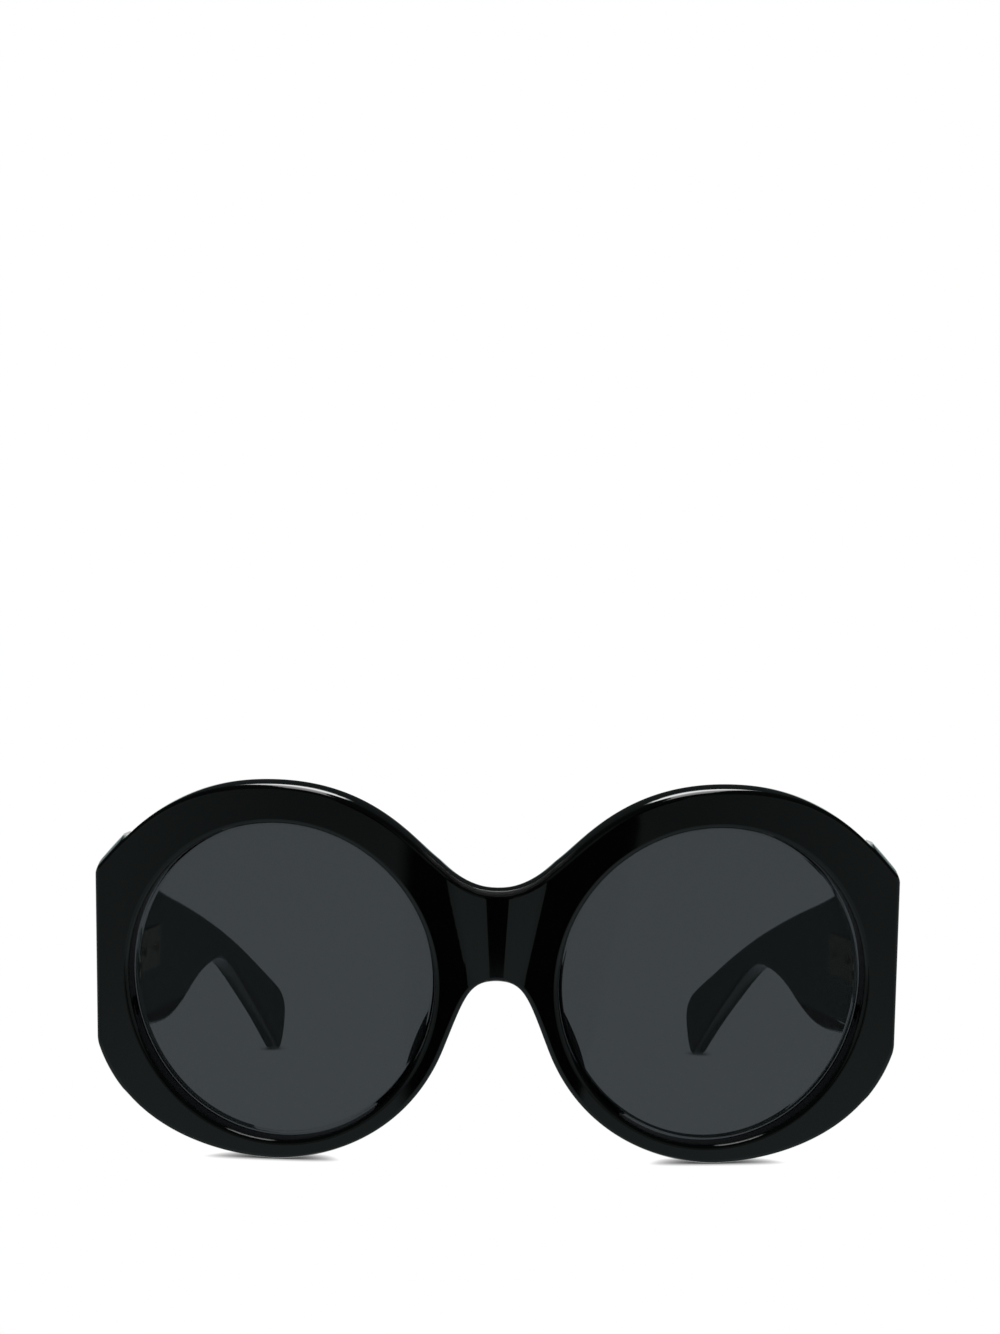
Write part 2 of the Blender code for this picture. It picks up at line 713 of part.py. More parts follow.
def temple_anchors():
    back = -math.pi
    fore_top = (-TEMPLE_TRIM, SIDE_TOP.z - TEMPLE_TRIM * math.tan(ROOT_HEADING))
    fore_foot = (-TEMPLE_TRIM, SIDE_FOOT.z)
    foot_pull, top_pull = [share * TEMPLE_LENGTH for share in ROOT_PULL_SHARES]
    return [
        *rounded_corner(fore_top, math.pi / 2, CORNER_RADIUS, ROOT_HEADING, top_pull),
        temple_anchor(BROW_SHARES, BROW_HEADING, BROW_PULL_SHARES),
        temple_anchor(EAR_SHARES, EAR_HEADING, EAR_PULL_SHARES),
        temple_anchor(TIP_TOP_SHARES, TIP_HEADING, TIP_TOP_PULL_SHARES),
        temple_anchor(TIP_END_SHARES, -math.pi / 2, TIP_END_PULL_SHARES),
        temple_anchor(TIP_FOOT_SHARES, back, TIP_FOOT_PULL_SHARES),
        temple_anchor(HOOK_SHARES, back + HOOK_HEADING, HOOK_PULL_SHARES),
        temple_anchor(NOTCH_SHARES, back, NOTCH_PULL_SHARES),
        temple_anchor(CHEEK_SHARES, back + CHEEK_HEADING, CHEEK_PULL_SHARES),
        temple_anchor(BELLY_SHARES, back, BELLY_PULL_SHARES),
        *rounded_corner(fore_foot, back, foot_pull, math.pi / 2, CORNER_RADIUS),
    ]


def temple_strips():
    step = TEMPLE_LENGTH / BOW_STRIPS
    return [step * count for count in range(BOW_STRIPS)]


def temple_mesh():
    flat = sheet_mesh(
        "temple", [(temple_anchors(), OUTLINE_STEPS)], TEMPLE_THICKNESS, EDGE_ROUND
    )
    shifted(flat, 0, 0, -TEMPLE_THICKNESS * HALF_SHARE)
    sliced(flat, 0, temple_strips())
    return mapped(flat, temple_rule)


def wire_mesh(name, radius, start_t, end_gap):
    """A round bar along the core's path, flat, then bowed with the temple."""
    curve = bpy.data.curves.new(name, "CURVE")
    curve.dimensions = "3D"
    curve.bevel_depth = radius
    curve.bevel_resolution = WIRE_ROUND_STEPS
    curve.use_fill_caps = True
    spline = curve.splines.new("BEZIER")
    spline.resolution_u = WIRE_STEPS
    end_t, end_z = placed(CORE_END_SHARES)
    path = [
        (start_t, CORE_START_SHARE * SIDE_TOP.z),
        placed(CORE_MIDDLE_SHARES),
        placed(CORE_NECK_SHARES),
        (end_t + end_gap, end_z - end_gap * HALF_SHARE),
    ]
    spline.bezier_points.add(len(path) - 1)
    for point, (t, z) in zip(spline.bezier_points, path):
        point.co = (t, z, -TEMPLE_THICKNESS * HALF_SHARE)
        point.handle_left_type = "AUTO"
        point.handle_right_type = "AUTO"
    mesh = baked_mesh(new_object(name, curve, bpy.context.scene.collection))
    return mapped(face_out(mesh), temple_rule)


# Hinge.
def knuckle_low(index):
    pitch = KNUCKLE_HEIGHT + KNUCKLE_GAP
    return HINGE_Z - KNUCKLE_STACK * HALF_SHARE + pitch * index


def joined(name, meshes, cutters):
    """One mesh from overlapping meshes, less the cutters."""
    objects = [new_object(name, mesh, bpy.context.scene.collection) for mesh in meshes]
    tools = [new_object(name, mesh, bpy.context.scene.collection) for mesh in cutters]
    body = objects[0]
    for other in objects[1:]:
        boolean(body, other, "UNION")
    for tool in tools:
        boolean(body, tool, "DIFFERENCE")
    mesh = baked_mesh(body)
    for other in [*objects[1:], *tools]:
        bpy.data.objects.remove(other, do_unlink=True)
    return face_out(mesh)


def axis_rod(name, radius, low, length):
    return rod_mesh(name, radius, length, Matrix.Translation((HINGE_X, HINGE_Y, low)))


def bore_mesh():
    return axis_rod("bore", HINGE_BORE_RADIUS, HINGE_Z - FAR, FAR * 2)


def front_pin_matrix(rise):
    start = Vector((FRONT_PIN_X, FRONT_PLATE_BACK, HINGE_Z + rise))
    return Matrix.Translation(start) @ Matrix.Rotation(math.pi / 2, 4, "X")


def front_leaf_mesh():
    """The right front leaf: a plate sunk in the end block, with three knuckles."""
    back = FRONT_PLATE_BACK
    fore = back - PLATE_THICKNESS
    half = PLATE_HEIGHT * HALF_SHARE
    plate = box_mesh(
        "front_leaf",
        (HINGE_X, fore, HINGE_Z - half),
        (FRONT_PLATE_END_X, back, HINGE_Z + half),
    )
    meshes = [plate]
    for index in range(0, KNUCKLE_COUNT, 2):
        low = knuckle_low(index)
        meshes.append(axis_rod("knuckle", KNUCKLE_RADIUS, low, KNUCKLE_HEIGHT))
        high = low + KNUCKLE_HEIGHT
        half_neck = KNUCKLE_RADIUS * NECK_WIDTH_SHARE
        neck_low = (HINGE_X - half_neck, back - PLATE_THICKNESS * HALF_SHARE, low + NECK_EASE)
        neck_high = (HINGE_X + half_neck, HINGE_Y - KNUCKLE_EASE, high - NECK_EASE)
        meshes.append(box_mesh("neck", neck_low, neck_high))
    holes = [
        rod_mesh(
            "hole",
            PIN_HOLE_RADIUS,
            PLATE_HEIGHT,
            Matrix.Translation((0, PLATE_HEIGHT * HALF_SHARE, 0)) @ front_pin_matrix(rise),
        )
        for rise in (FRONT_PIN_RISE, -FRONT_PIN_RISE)
    ]
    return joined("front_leaf", meshes, [bore_mesh(), *holes])


def flat_temple_box(name, low, high):
    """A box in the flat temple's own T, Z and inset, put in its place."""
    mesh = box_mesh(name, (low[0], low[1], -high[2]), (high[0], high[1], -low[2]))
    return mapped(mesh, temple_rule)


def temple_pin_matrix(t):
    """Origin on the plate's face, Z into the temple."""
    face = TEMPLE_THICKNESS + TEMPLE_PLATE_PROUD
    start = temple_point(t, HINGE_Z, face)
    turn = Matrix.Rotation(math.pi / 2 + temple_heading(t), 4, "Z")
    return Matrix.Translation(start) @ turn @ Matrix.Rotation(math.pi / 2, 4, "X")


def temple_leaf_mesh():
    """The right temple leaf: a plate on the inner face, with two knuckles."""
    face = TEMPLE_THICKNESS + TEMPLE_PLATE_PROUD
    half = PLATE_HEIGHT * HALF_SHARE
    inner = face - PLATE_THICKNESS
    meshes = [
        flat_temple_box(
            "temple_leaf",
            (TEMPLE_PLATE_START_T, HINGE_Z - half, inner),
            (TEMPLE_PLATE_END_T, HINGE_Z + half, face),
        )
    ]
    for index in range(1, KNUCKLE_COUNT, 2):
        low = knuckle_low(index)
        high = low + KNUCKLE_HEIGHT
        meshes.append(axis_rod("knuckle", KNUCKLE_RADIUS, low, KNUCKLE_HEIGHT))
        plate_fore = temple_point(TEMPLE_PLATE_START_T, HINGE_Z, face)
        arm_low = (HINGE_X + KNUCKLE_EASE, HINGE_Y - KNUCKLE_EASE, low + NECK_EASE)
        arm_high = (
            plate_fore.x + PLATE_THICKNESS * ARM_BITE_SHARE,
            plate_fore.y + PLATE_THICKNESS,
            high - NECK_EASE,
        )
        meshes.append(box_mesh("arm", arm_low, arm_high))
    holes = [
        rod_mesh(
            "hole",
            PIN_HOLE_RADIUS,
            PLATE_HEIGHT,
            temple_pin_matrix(t) @ Matrix.Translation((0, 0, -PLATE_HEIGHT * HALF_SHARE)),
        )
        for t in TEMPLE_PIN_PLACES
    ]
    return joined("temple_leaf", meshes, [bore_mesh(), *holes])


def screw_mesh():
    """The hinge screw: a shank through the knuckles, with a slotted head on top."""
    top = knuckle_low(KNUCKLE_COUNT)
    shank_low = knuckle_low(0) - SCREW_TAIL
    shank = axis_rod("screw", SCREW_RADIUS, shank_low, top - shank_low + SLOT_DEPTH)
    head = axis_rod("head", SCREW_HEAD_RADIUS, top, SCREW_HEAD_HEIGHT)
    half_slot = SLOT_WIDTH * HALF_SHARE
    floor = top + SCREW_HEAD_HEIGHT - SLOT_DEPTH
    slot = box_mesh(
        "slot",
        (HINGE_X - SCREW_HEAD_RADIUS * 2, HINGE_Y - half_slot, floor),
        (HINGE_X + SCREW_HEAD_RADIUS * 2, HINGE_Y + half_slot, floor + SCREW_HEAD_HEIGHT),
    )
    return joined("screw", [shank, head], [slot])


def temple_pin_mesh(t):
    """A pin with a flat head on the temple leaf."""
    place = temple_pin_matrix(t)
    head_place = place @ Matrix.Translation((0, 0, -SEAT_GAP - PIN_HEAD_HEIGHT))
    head = rod_mesh("pin", PIN_HEAD_RADIUS, PIN_HEAD_HEIGHT, head_place)
    start = place @ Matrix.Translation((0, 0, -SEAT_GAP - PIN_HEAD_HEIGHT * HALF_SHARE))
    shank = rod_mesh("pin", PIN_RADIUS, PIN_LENGTH, start)
    return joined("pin", [head, shank], [])


# What is cut out of the right-hand side of the front and out of the right temple.
def end_block_cutters():
    """The mitre plane, the pocket for the front leaf, and the holes for its pins."""
    half = PLATE_HEIGHT * HALF_SHARE + SEAT_GAP
    floor = FRONT_PLATE_BACK - PLATE_THICKNESS - SEAT_GAP
    mitre = box_mesh("mitre", (0, MITRE_Y, -FAR), (FAR, FAR, FAR))
    pocket = box_mesh(
        "pocket",
        (HINGE_X - KNUCKLE_RADIUS * 2, floor, HINGE_Z - half),
        (FRONT_PLATE_END_X + SEAT_GAP, FAR, HINGE_Z + half),
    )
    holes = [
        rod_mesh(
            "hole",
            PIN_HOLE_RADIUS,
            PIN_LENGTH + SEAT_GAP,
            front_pin_matrix(rise),
        )
        for rise in (FRONT_PIN_RISE, -FRONT_PIN_RISE)
    ]
    return [mitre, pocket, *holes]


def temple_cutters():
    """The butt plane, the recess for the leaf, the pin holes and the core's channel."""
    half = PLATE_HEIGHT * HALF_SHARE + SEAT_GAP
    floor = TEMPLE_THICKNESS + TEMPLE_PLATE_PROUD - PLATE_THICKNESS - SEAT_GAP
    butt = box_mesh("butt", (0, -FAR, -FAR), (FAR, MITRE_Y + SEAT_GAP, FAR))
    recess = flat_temple_box(
        "recess",
        (-TEMPLE_TRIM * 2, HINGE_Z - half, floor),
        (TEMPLE_PLATE_END_T + SEAT_GAP, HINGE_Z + half, TEMPLE_THICKNESS * 2),
    )
    holes = [
        rod_mesh("hole", PIN_HOLE_RADIUS, PIN_LENGTH, temple_pin_matrix(t))
        for t in TEMPLE_PIN_PLACES
    ]
    channel = wire_mesh("channel", CORE_CHANNEL_RADIUS, -TEMPLE_TRIM * 2, CORE_END_GAP)
    return [butt, recess, *holes, channel]


def cut_by(obj, meshes, cutters, name):
    for mesh in meshes:
        cutter = new_object(f"{name}_cutter", mesh, cutters)
        cutter.hide_render = True
        cutter.display_type = "WIRE"
        cutter.parent = obj.parent
        cutter.matrix_parent_inverse = obj.matrix_parent_inverse
        boolean(obj, cutter, "DIFFERENCE")


# Assembly.
def empty_at(name, point, collection, parent=None):
    empty = bpy.data.objects.new(name, None)
    empty.empty_display_size = PLATE_HEIGHT
    collection.objects.link(empty)
    empty.location = point
    empty.parent = parent
    return empty


def add_piece(name, mesh, collection, parent, origin, material):
    """A named piece whose mesh is given in the front's own axes."""
    mesh.name = name
    mesh.transform(Matrix.Translation(-Vector(origin)))
    smooth_round(mesh)
    mesh.materials.clear()
    mesh.materials.append(material)
    obj = new_object(name, mesh, collection)
    obj.parent = parent
    return obj


def build():
    clear_scene()
    parts = new_collection(OBJECT_NAME)
    cutters = new_collection("cutters", hidden=True)
    root = empty_at("frame_origin", (0, 0, 0), parts)

    plastic = {
        "front_frame": 0.06,
        "temple": 0.07,
        "nose_pad": 0.09,
    }
    metal = {
        "hinge_front_leaf": (PALE_GOLD, 0.22),
        "hinge_temple_leaf": (PALE_GOLD, 0.24),
        "hinge_screw": (PALE_GOLD, 0.18),
        "front_pin": (STEEL_COLOUR, 0.25),
        "temple_pin": (PALE_GOLD, 0.20),
        "core_wire": (STEEL_COLOUR, 0.35),
    }
    looks = {
        name: new_material(name, PLASTIC_COLOUR, roughness, 0.0)
        for name, roughness in plastic.items()
    }
    for name, (colour, roughness) in metal.items():
        looks[name] = new_material(name, colour, roughness, 1.0)
    looks["lens"] = new_material("lens", LENS_COLOUR, 0.03, 0.0)

    front = add_piece("front_frame", front_mesh(), parts, root, (0, 0, 0), looks["front_frame"])
    right_cutters = end_block_cutters()
    left_cutters = [mirrored(mesh, mesh.name) for mesh in right_cutters]
    cut_by(front, right_cutters + left_cutters, cutters, "front")

    fixed = {
        "lens": (lens_mesh(), "lens"),
        "nose_pad": (pad_mesh(), "nose_pad"),
        "hinge_front_leaf": (front_leaf_mesh(), "hinge_front_leaf"),
        "hinge_screw": (screw_mesh(), "hinge_screw"),
    }
    for name, rise in (("upper", FRONT_PIN_RISE), ("lower", -FRONT_PIN_RISE)):
        pin = rod_mesh("pin", PIN_RADIUS, PIN_LENGTH, front_pin_matrix(rise))
        fixed[f"front_pin_{name}"] = (pin, "front_pin")
    moving = {
        "hinge_temple_leaf": (temple_leaf_mesh(), "hinge_temple_leaf"),
        "core_wire": (wire_mesh("core", CORE_RADIUS, CORE_SETBACK, 0), "core_wire"),
        "temple_pin_fore": (temple_pin_mesh(TEMPLE_PIN_PLACES[0]), "temple_pin"),
        "temple_pin_rear": (temple_pin_mesh(TEMPLE_PIN_PLACES[1]), "temple_pin"),
    }

    for side, suffix in ((1, "right"), (-1, "left")):
        axis = (side * HINGE_X, HINGE_Y, HINGE_Z)
        hinge = empty_at(f"hinge_axis_{suffix}", axis, parts, root)
        hinge.rotation_euler.z = TEMPLE_TURN
        for name, (mesh, look) in fixed.items():
            own = mesh.copy() if side > 0 else mirrored(mesh, name)
            add_piece(f"{name}_{suffix}", own, parts, root, (0, 0, 0), looks[look])
        for name, (mesh, look) in moving.items():
            own = mesh.copy() if side > 0 else mirrored(mesh, name)
            add_piece(f"{name}_{suffix}", own, parts, hinge, axis, looks[look])
        body = temple_mesh()
        tools = temple_cutters()
        if side < 0:
            body = mirrored(body, "temple")
            tools = [mirrored(tool, tool.name) for tool in tools]
        for tool in tools:
            tool.transform(Matrix.Translation(-Vector(axis)))
        temple = add_piece(f"temple_{suffix}", body, parts, hinge, axis, looks["temple"])
        cut_by(temple, tools, cutters, f"temple_{suffix}")
    settle(root, parts)


def settle(root, parts):
    """Puts the origin under the middle of the open glasses, on the floor they stand on."""
    bpy.context.view_layer.update()
    graph = bpy.context.evaluated_depsgraph_get()
    points = []
    for obj in parts.objects:
        if obj.type != "MESH":
            continue
        evaluated = obj.evaluated_get(graph)
        points += [evaluated.matrix_world @ vertex.co for vertex in evaluated.data.vertices]
    low = Vector([min(point[axis] for point in points) for axis in range(3)])
    high = Vector([max(point[axis] for point in points) for axis in range(3)])
    middle = (low + high) * HALF_SHARE
    root.location = (-middle.x, -middle.y, -low.z)
    bpy.context.view_layer.update()
    print("moved to the origin by", [round(value, 6) for value in root.location])
    print("size", [round(value, 6) for value in high - low])


build()
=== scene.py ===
"""Round sunglasses in polished black sheet plastic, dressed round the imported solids.

Every piece is drawn flat, as the sheet is milled, at a finer step than the solids, and
then bent, leant and turned by the same rules, so that it lies where its solid lies.
All sizes are in metres: X to the right of someone who faces the front, Y back, Z up.
"""

import json
import math

import bmesh
import bpy
import numpy as np
from bpy.props import FloatProperty, FloatVectorProperty, PointerProperty
from bpy.types import Operator, Panel, PropertyGroup
from mathutils import Matrix, Vector


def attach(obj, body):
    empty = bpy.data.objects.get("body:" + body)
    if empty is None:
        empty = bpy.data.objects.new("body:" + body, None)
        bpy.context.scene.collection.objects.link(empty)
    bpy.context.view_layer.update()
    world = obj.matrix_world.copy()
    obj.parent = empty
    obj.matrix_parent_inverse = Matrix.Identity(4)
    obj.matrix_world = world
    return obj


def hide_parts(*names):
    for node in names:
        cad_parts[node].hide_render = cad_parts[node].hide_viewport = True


bl_info = {
    "name": "Round Sunglasses",
    "version": (1, 0, 0),
    "blender": (4, 5, 0),
    "location": "3D View > Sidebar > Sunglasses",
    "description": "Builds polished round sunglasses round their packed solids",
    "category": "Add Mesh",
}

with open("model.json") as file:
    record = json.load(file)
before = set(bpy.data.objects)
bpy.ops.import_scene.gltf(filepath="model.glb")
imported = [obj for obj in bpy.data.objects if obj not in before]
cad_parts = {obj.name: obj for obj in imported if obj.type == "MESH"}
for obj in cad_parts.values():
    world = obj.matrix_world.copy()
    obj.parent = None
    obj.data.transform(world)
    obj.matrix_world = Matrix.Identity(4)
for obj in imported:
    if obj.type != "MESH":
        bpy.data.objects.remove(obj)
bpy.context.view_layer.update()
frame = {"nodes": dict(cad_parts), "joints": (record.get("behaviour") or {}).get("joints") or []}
SIDES = ((1, "right"), (-1, "left"))

# Where the outline of the front turns, measured from the openings.
RIM_TOP_SHIFT = 0.00105
RIM_FOOT_SHIFT = 0.0011
SIDE_TOP_RISE = 0.01875
SIDE_FOOT_DROP = 0.01340
BRIDGE_RISE = 0.01755
BRIDGE_HEIGHT = 0.0163
SADDLE_RISE = 0.00485
FLANK_DROP = 0.01285
SADDLE_U_SHARE = 0.916
FLANK_U_SHARE = 0.831
CORNER_RADIUS = 0.0009

# Headings of that outline, and how far each pull reaches.
SADDLE_HEADING = math.radians(39.5)
SIDE_TOP_HEADING = math.radians(-49)
SIDE_FOOT_HEADING = math.radians(-110)
NOSE_FLANK_HEADING = math.radians(111)
BRIDGE_PULL = 0.0059
SADDLE_PULLS = (0.0020, 0.00705)
RIM_TOP_PULLS = (0.0170, 0.0179)
SIDE_TOP_PULL = 0.0109
SIDE_FOOT_PULL = 0.0171
RIM_FOOT_PULL = 0.0080
NOSE_FLANK_PULLS = (0.0186, 0.0097)
ARCH_PULL = 0.0050

# Bend of the front in plan. The raised bridge is wider at its top than at the arch.
BUMP_START = 0.0014
BUMP_END = 0.0070
BUMP_RAMP = 0.0010
BUMP_FLARE_SHARE = 0.23
BUMP_SCALE_SHARES = (0.74, 1.36)
WRAP_LAND = 0.00075
WRAP_SQUARE_WIDTH = 0.0010
FRONT_DROP = 0.0005

# End blocks behind the sides.
BLOCK_MARGIN = 0.00145
BLOCK_DEPTH = 0.0150
BLOCK_OVERLAP = 0.0040
BLOCK_PROUD = 0.00003
BLOCK_LAND = 0.00094
SKIN = 0.00003
CROWN_SHARE = 0.045
CROWN_ROWS = (-0.8, -0.5, -0.2, 0.2, 0.5, 0.8)
SEAT_GAP = 0.0003

# Outline of the temple from the top of its joint to its foot: places, as shares of its
# length and of its height at the joint, headings in degrees, and pulls in and out.
TEMPLE_TURNS = (
    ((0.3036, 0.8029), -10.8, (0.0810, 0.1687)),  # brow
    ((0.8232, 0.4165), -19.8, (0.1687, 0.0472)),  # over the ear
    ((0.9771, 0.2507), -38, (0.0202, 0.0148)),  # top of the tip
    ((1.0, 0.1546), -90, (0.0175, 0.0216)),  # end of the tip
    ((0.9663, 0.0), -180, (0.0135, 0.0094)),  # foot of the tip
    ((0.7760, 0.2940), -206.2, (0.1484, 0.0675)),  # behind the ear
    ((0.5749, 0.4995), -180, (0.0574, 0.0607)),  # ear hollow
    ((0.4103, 0.4373), -163.6, (0.0540, 0.0472)),  # cheek
    ((0.2497, 0.3581), -180, (0.0607, 0.0810)),  # belly
)
ROOT_PULL_SHARES = (0.0810, 0.1012)
ROOT_HEADING = math.radians(-15.5)
TEMPLE_TRIM = 0.0025
TAPER_START_SHARE = 0.6

# Stiffening wire's path in the temple, on the same shares, and its channel.
CORE_CHANNEL_RADIUS = 0.00110
CORE_END_GAP = 0.0006
CORE_START_SHARE = 0.5466
CORE_MIDDLE_SHARES = (0.3374, 0.5881)
CORE_NECK_SHARES = (0.5803, 0.5560)
CORE_END_SHARES = (0.8637, 0.2733)
CORE_SIDE_STEPS = 4
CORE_PATH_STEPS = 24

# Nose pads, behind the rims.
PAD_SETBACK = 0.00160
PAD_DROP = 0.0107
PAD_STANDOFF = 0.0008
PAD_LEAN = math.radians(23)

# Hinge details too small to be worth a setting.
KNUCKLE_COUNT = 5
KNUCKLE_EASE = 0.0003
KNUCKLE_CHAMFER = 0.00012
NECK_WIDTH_SHARE = 0.88
NECK_EASE = 0.00006
ARM_BITE_SHARE = 0.7
HINGE_BORE_RADIUS = 0.00085
SCREW_TAIL = 0.0005
SLOT_WIDTH = 0.0004
SLOT_DEPTH = 0.0003
PLATE_MARGIN = 0.0003
PLATE_SINK = 0.00006
PLATE_ROUND = 0.00012
PLATE_CLEARANCE = 0.00045
FRONT_PLATE_BORDER = 0.0010
TEMPLE_PLATE_PROUD = 0.0004
PIN_HOLE_RADIUS = 0.0008
FRONT_PIN_BORDER = 0.0018
FRONT_PIN_RISE_SHARE = 0.32
TEMPLE_PIN_SHARES = (0.40, 0.85)

# Profile of a domed head, from its crown: shares of its height and of its radius.
DOME = ((0.0, 0.62), (0.35, 0.86), (0.75, 1.0), (1.0, 1.0))

# Fineness of the meshes.
OUTLINE_SPACING = 0.0008
OPENING_SPACING = 0.0007
CORNER_STEPS = 6
EDGE_ROUND_STEPS = 5
BEND_SPACING = 0.0008
CELL_SPACING = 0.0020
BUMP_SPACING = 0.00025
BUMP_REACH = 0.0098
LENS_STEPS = 192
LENS_RING_SPACING = 0.0025
ROUND_STEPS = 40
PAD_STEPS = (48, 32)
PLAN_STEPS = 4000
WELD = 0.000001
FLAT_ANGLE = math.radians(0.05)
LEVEL_SHARE = 0.9999
SHARP_ANGLE = math.radians(32)
LEVEL_WEIGHT = 90
FAR = 0.25
HALF_SHARE = 0.5

# Finishes: plain values of the shader, fineness of the drift in colour, haze and wiping
# marks in the polish, and depth of the marks.
PLASTIC = {
    "shader": {"IOR": 1.49},
    "drift": 60.0,
    "polish": {"Scale": 160.0, "Haze": 0.02, "Marks": 0.05},
    "relief": 2e-8,
}
METAL = {
    "shader": {"Metallic": 1.0},
    "drift": 900.0,
    "polish": {"Scale": 1800.0, "Haze": 0.08, "Marks": 0.15},
    "relief": 1e-7,
}
LENS = {"Transmission Weight": 0.93, "Roughness": 0.0, "IOR": 1.22}
LENS_DRIFT = 20.0
PAD_ROUGHNESS = 0.12
LEAF_ROUGHNESS = 0.16
SCREW_ROUGHNESS = 0.12
RIVET_ROUGHNESS = 0.14
PIN_ROUGHNESS = 0.25
CORE_ROUGHNESS = 0.32
HAZE_DETAIL = 4.0
DRIFT_DETAIL = 3.0
WIPE_TURN = (0.5, 0.3, 0.9)
WIPE_STRETCH = (1, 14, 14)
WIPE_FINENESS = 5.0
WIPE_DETAIL = 2.0
WIPE_SHARPNESS = 6.0
MIX_FIRST, MIX_SECOND = 6, 7  # colour sockets of a Mix node

# Where the bridge's top loses its polish: from and to which place aside and slope.
SADDLE_DULL = (0.0100, 0.0150)
SADDLE_DULL_FORWARD = (0.21, 0.88)
SADDLE_DULL_SOFT = 0.02
SADDLE_DULL_RISE = (0.25, 0.40)
SADDLE_ROUGHNESS = 0.94

# The room that gloss sees: angles in degrees from straight ahead of the glasses and from
# level, and brightness, where white is 1.
CARD_LEFT = -4.8
CARD_LEFT_SOFT = 1.2
CARD_RIGHT_LOW = 4.1
CARD_RIGHT_HIGH = 10.8
CARD_RIGHT_SOFT = 0.5
CARD_ROWS = (-28.3, -22.8)
CARD_RISE = (-28.9, 20.0)
CARD_RISE_SOFT = 0.6
ROOM_NEAR = 0.13
ROOM_SIDE = 0.21
ROOM_SIDE_ANGLES = (18, 42)
ROOM_LOW_GAIN = 0.15
ROOM_LOW_ROWS = (-22.4, -29.0)
ROOM_ABOVE = 0.03
ROOM_REAR_SIDE = 0.22
ROOM_REAR_ANGLE = 90.0
ROOM_REAR_SOFT = 20.0
ROOM_TINTED_UNDER = 0.9
BACKDROP_HALF = 12
BACKDROP_HALF_SOFT = 3.0
BACKDROP_TOP = 8
BACKDROP_TOP_SOFT = 2.0

# The strip light over the glasses, by its rise from behind and its reach to each side.
STRIP_RISE = (math.radians(32), math.radians(118))
STRIP_RISE_SOFT = math.radians(1.5)
STRIP_HALF_WIDTH = 0.17
STRIP_SOFT = 0.03
STRIP_LEVEL = 4.5

# Floor and camera.
CONTACT_SAMPLES = 16
SENSOR_MILLIMETRES = 36
CAMERA_NEAR = 0.01


# Settings that a user may change.
def length(name, description, default):
    return FloatProperty(
        name=name, description=description, default=default, min=0, unit="LENGTH", precision=5
    )


def angle(name, description, degrees):
    return FloatProperty(
        name=name, description=description, default=math.radians(degrees), subtype="ANGLE"
    )


def colour(name, description, default):
    return FloatVectorProperty(
        name=name, description=description, default=default, min=0, max=1, size=3, subtype="COLOR"
    )


def share(name, description, default):
    return FloatProperty(
        name=name, description=description, default=default, min=0, max=1, subtype="FACTOR"
    )


class FrontSizes(PropertyGroup):
    sheet: length("Sheet", "Thickness of the front's sheet", 0.0064)
    edge_round: length("Edge round", "Radius of the polished edges", 0.0009)
    opening_half_width: length("Opening half width", "Half of an opening's width", 0.02795)
    opening_half_height: length("Opening half height", "Half of its height", 0.02905)
    bridge_half_width: length("Bridge half width", "Middle to the opening", 0.01125)
    rim_foot: length("Rim foot", "Plastic under an opening", 0.00385)
    rim_brow: length("Rim brow", "Plastic over an opening", 0.00720)
    rim_side: length("Rim side", "Plastic beside an opening", 0.00645)
    wrap_radius: length("Wrap radius", "Bend of the front round the face", 0.2070)
    bump_angle: angle("Bridge angle", "Slope of the raised bridge's sides", 9)
    lean: angle("Lean", "Lean of the front's top towards the viewer", 10)
    pad_half_width: length("Pad half width", "Half of a nose pad's width", 0.0016)
    pad_half_height: length("Pad half height", "Half of its height", 0.0088)
    pad_half_depth: length("Pad half depth", "Half of its depth", 0.0046)


class LensSizes(PropertyGroup):
    thickness: length("Thickness", "Thickness of a lens", 0.0021)
    shift: length("Shift", "Lens behind the middle of the sheet", 0.0002)
    clearance: length("Clearance", "Gap between the lens and its opening", 0.00035)
    bevel: length("Bevel", "Ridge round the lens for its groove", 0.0007)
    groove: length("Groove", "Depth of the groove in the rim", 0.0008)
    edge_ease: length("Edge ease", "Chamfer at the lens's edges", 0.00015)


class TempleSizes(PropertyGroup):
    length: length("Length", "Length of a temple from its joint", 0.1482)
    thickness: length("Thickness", "Thickness of a temple at its joint", 0.0046)
    edge_round: length("Edge round", "Radius of the polished edges", 0.0009)
    taper: share("Taper", "Share of the thickness lost by the tip", 0.26)
    toe_in: angle("Toe in", "Heading inwards at the joint", 4.7)
    bow: angle("Bow", "Further heading gained by the tip", 7.7)
    turn: angle("Turn", "Both temples' rest turn about their hinges", 1.0)


class HingeSizes(PropertyGroup):
    inset: length("Inset", "Axis inside the temple's inner face", 0.0013)
    setback: length("Setback", "Axis behind the joint", 0.0023)
    rise: length("Rise", "Middle of the hinge above the side's foot", 0.0134)
    knuckle_radius: length("Knuckle radius", "Radius of a knuckle", 0.00125)
    knuckle_height: length("Knuckle height", "Height of a knuckle", 0.0012)
    knuckle_gap: length("Knuckle gap", "Gap between two knuckles", 0.0003)
    plate: length("Plate", "Thickness of the leaves", 0.00075)
    temple_plate: length("Temple plate", "Length of the temple leaf", 0.0250)
    screw_radius: length("Screw radius", "Radius of the screw's shank", 0.00055)
    screw_head_radius: length("Screw head radius", "Radius of its head", 0.00090)
    screw_head: length("Screw head", "Height of its head", 0.0007)
    pin_radius: length("Pin radius", "Radius of a pin's shank", 0.0005)
    pin_length: length("Pin length", "Length of a pin's shank", 0.0030)
    rivet_radius: length("Rivet radius", "Radius of a rivet's head", 0.0010)
    rivet_head: length("Rivet head", "Height of a rivet's head", 0.0003)


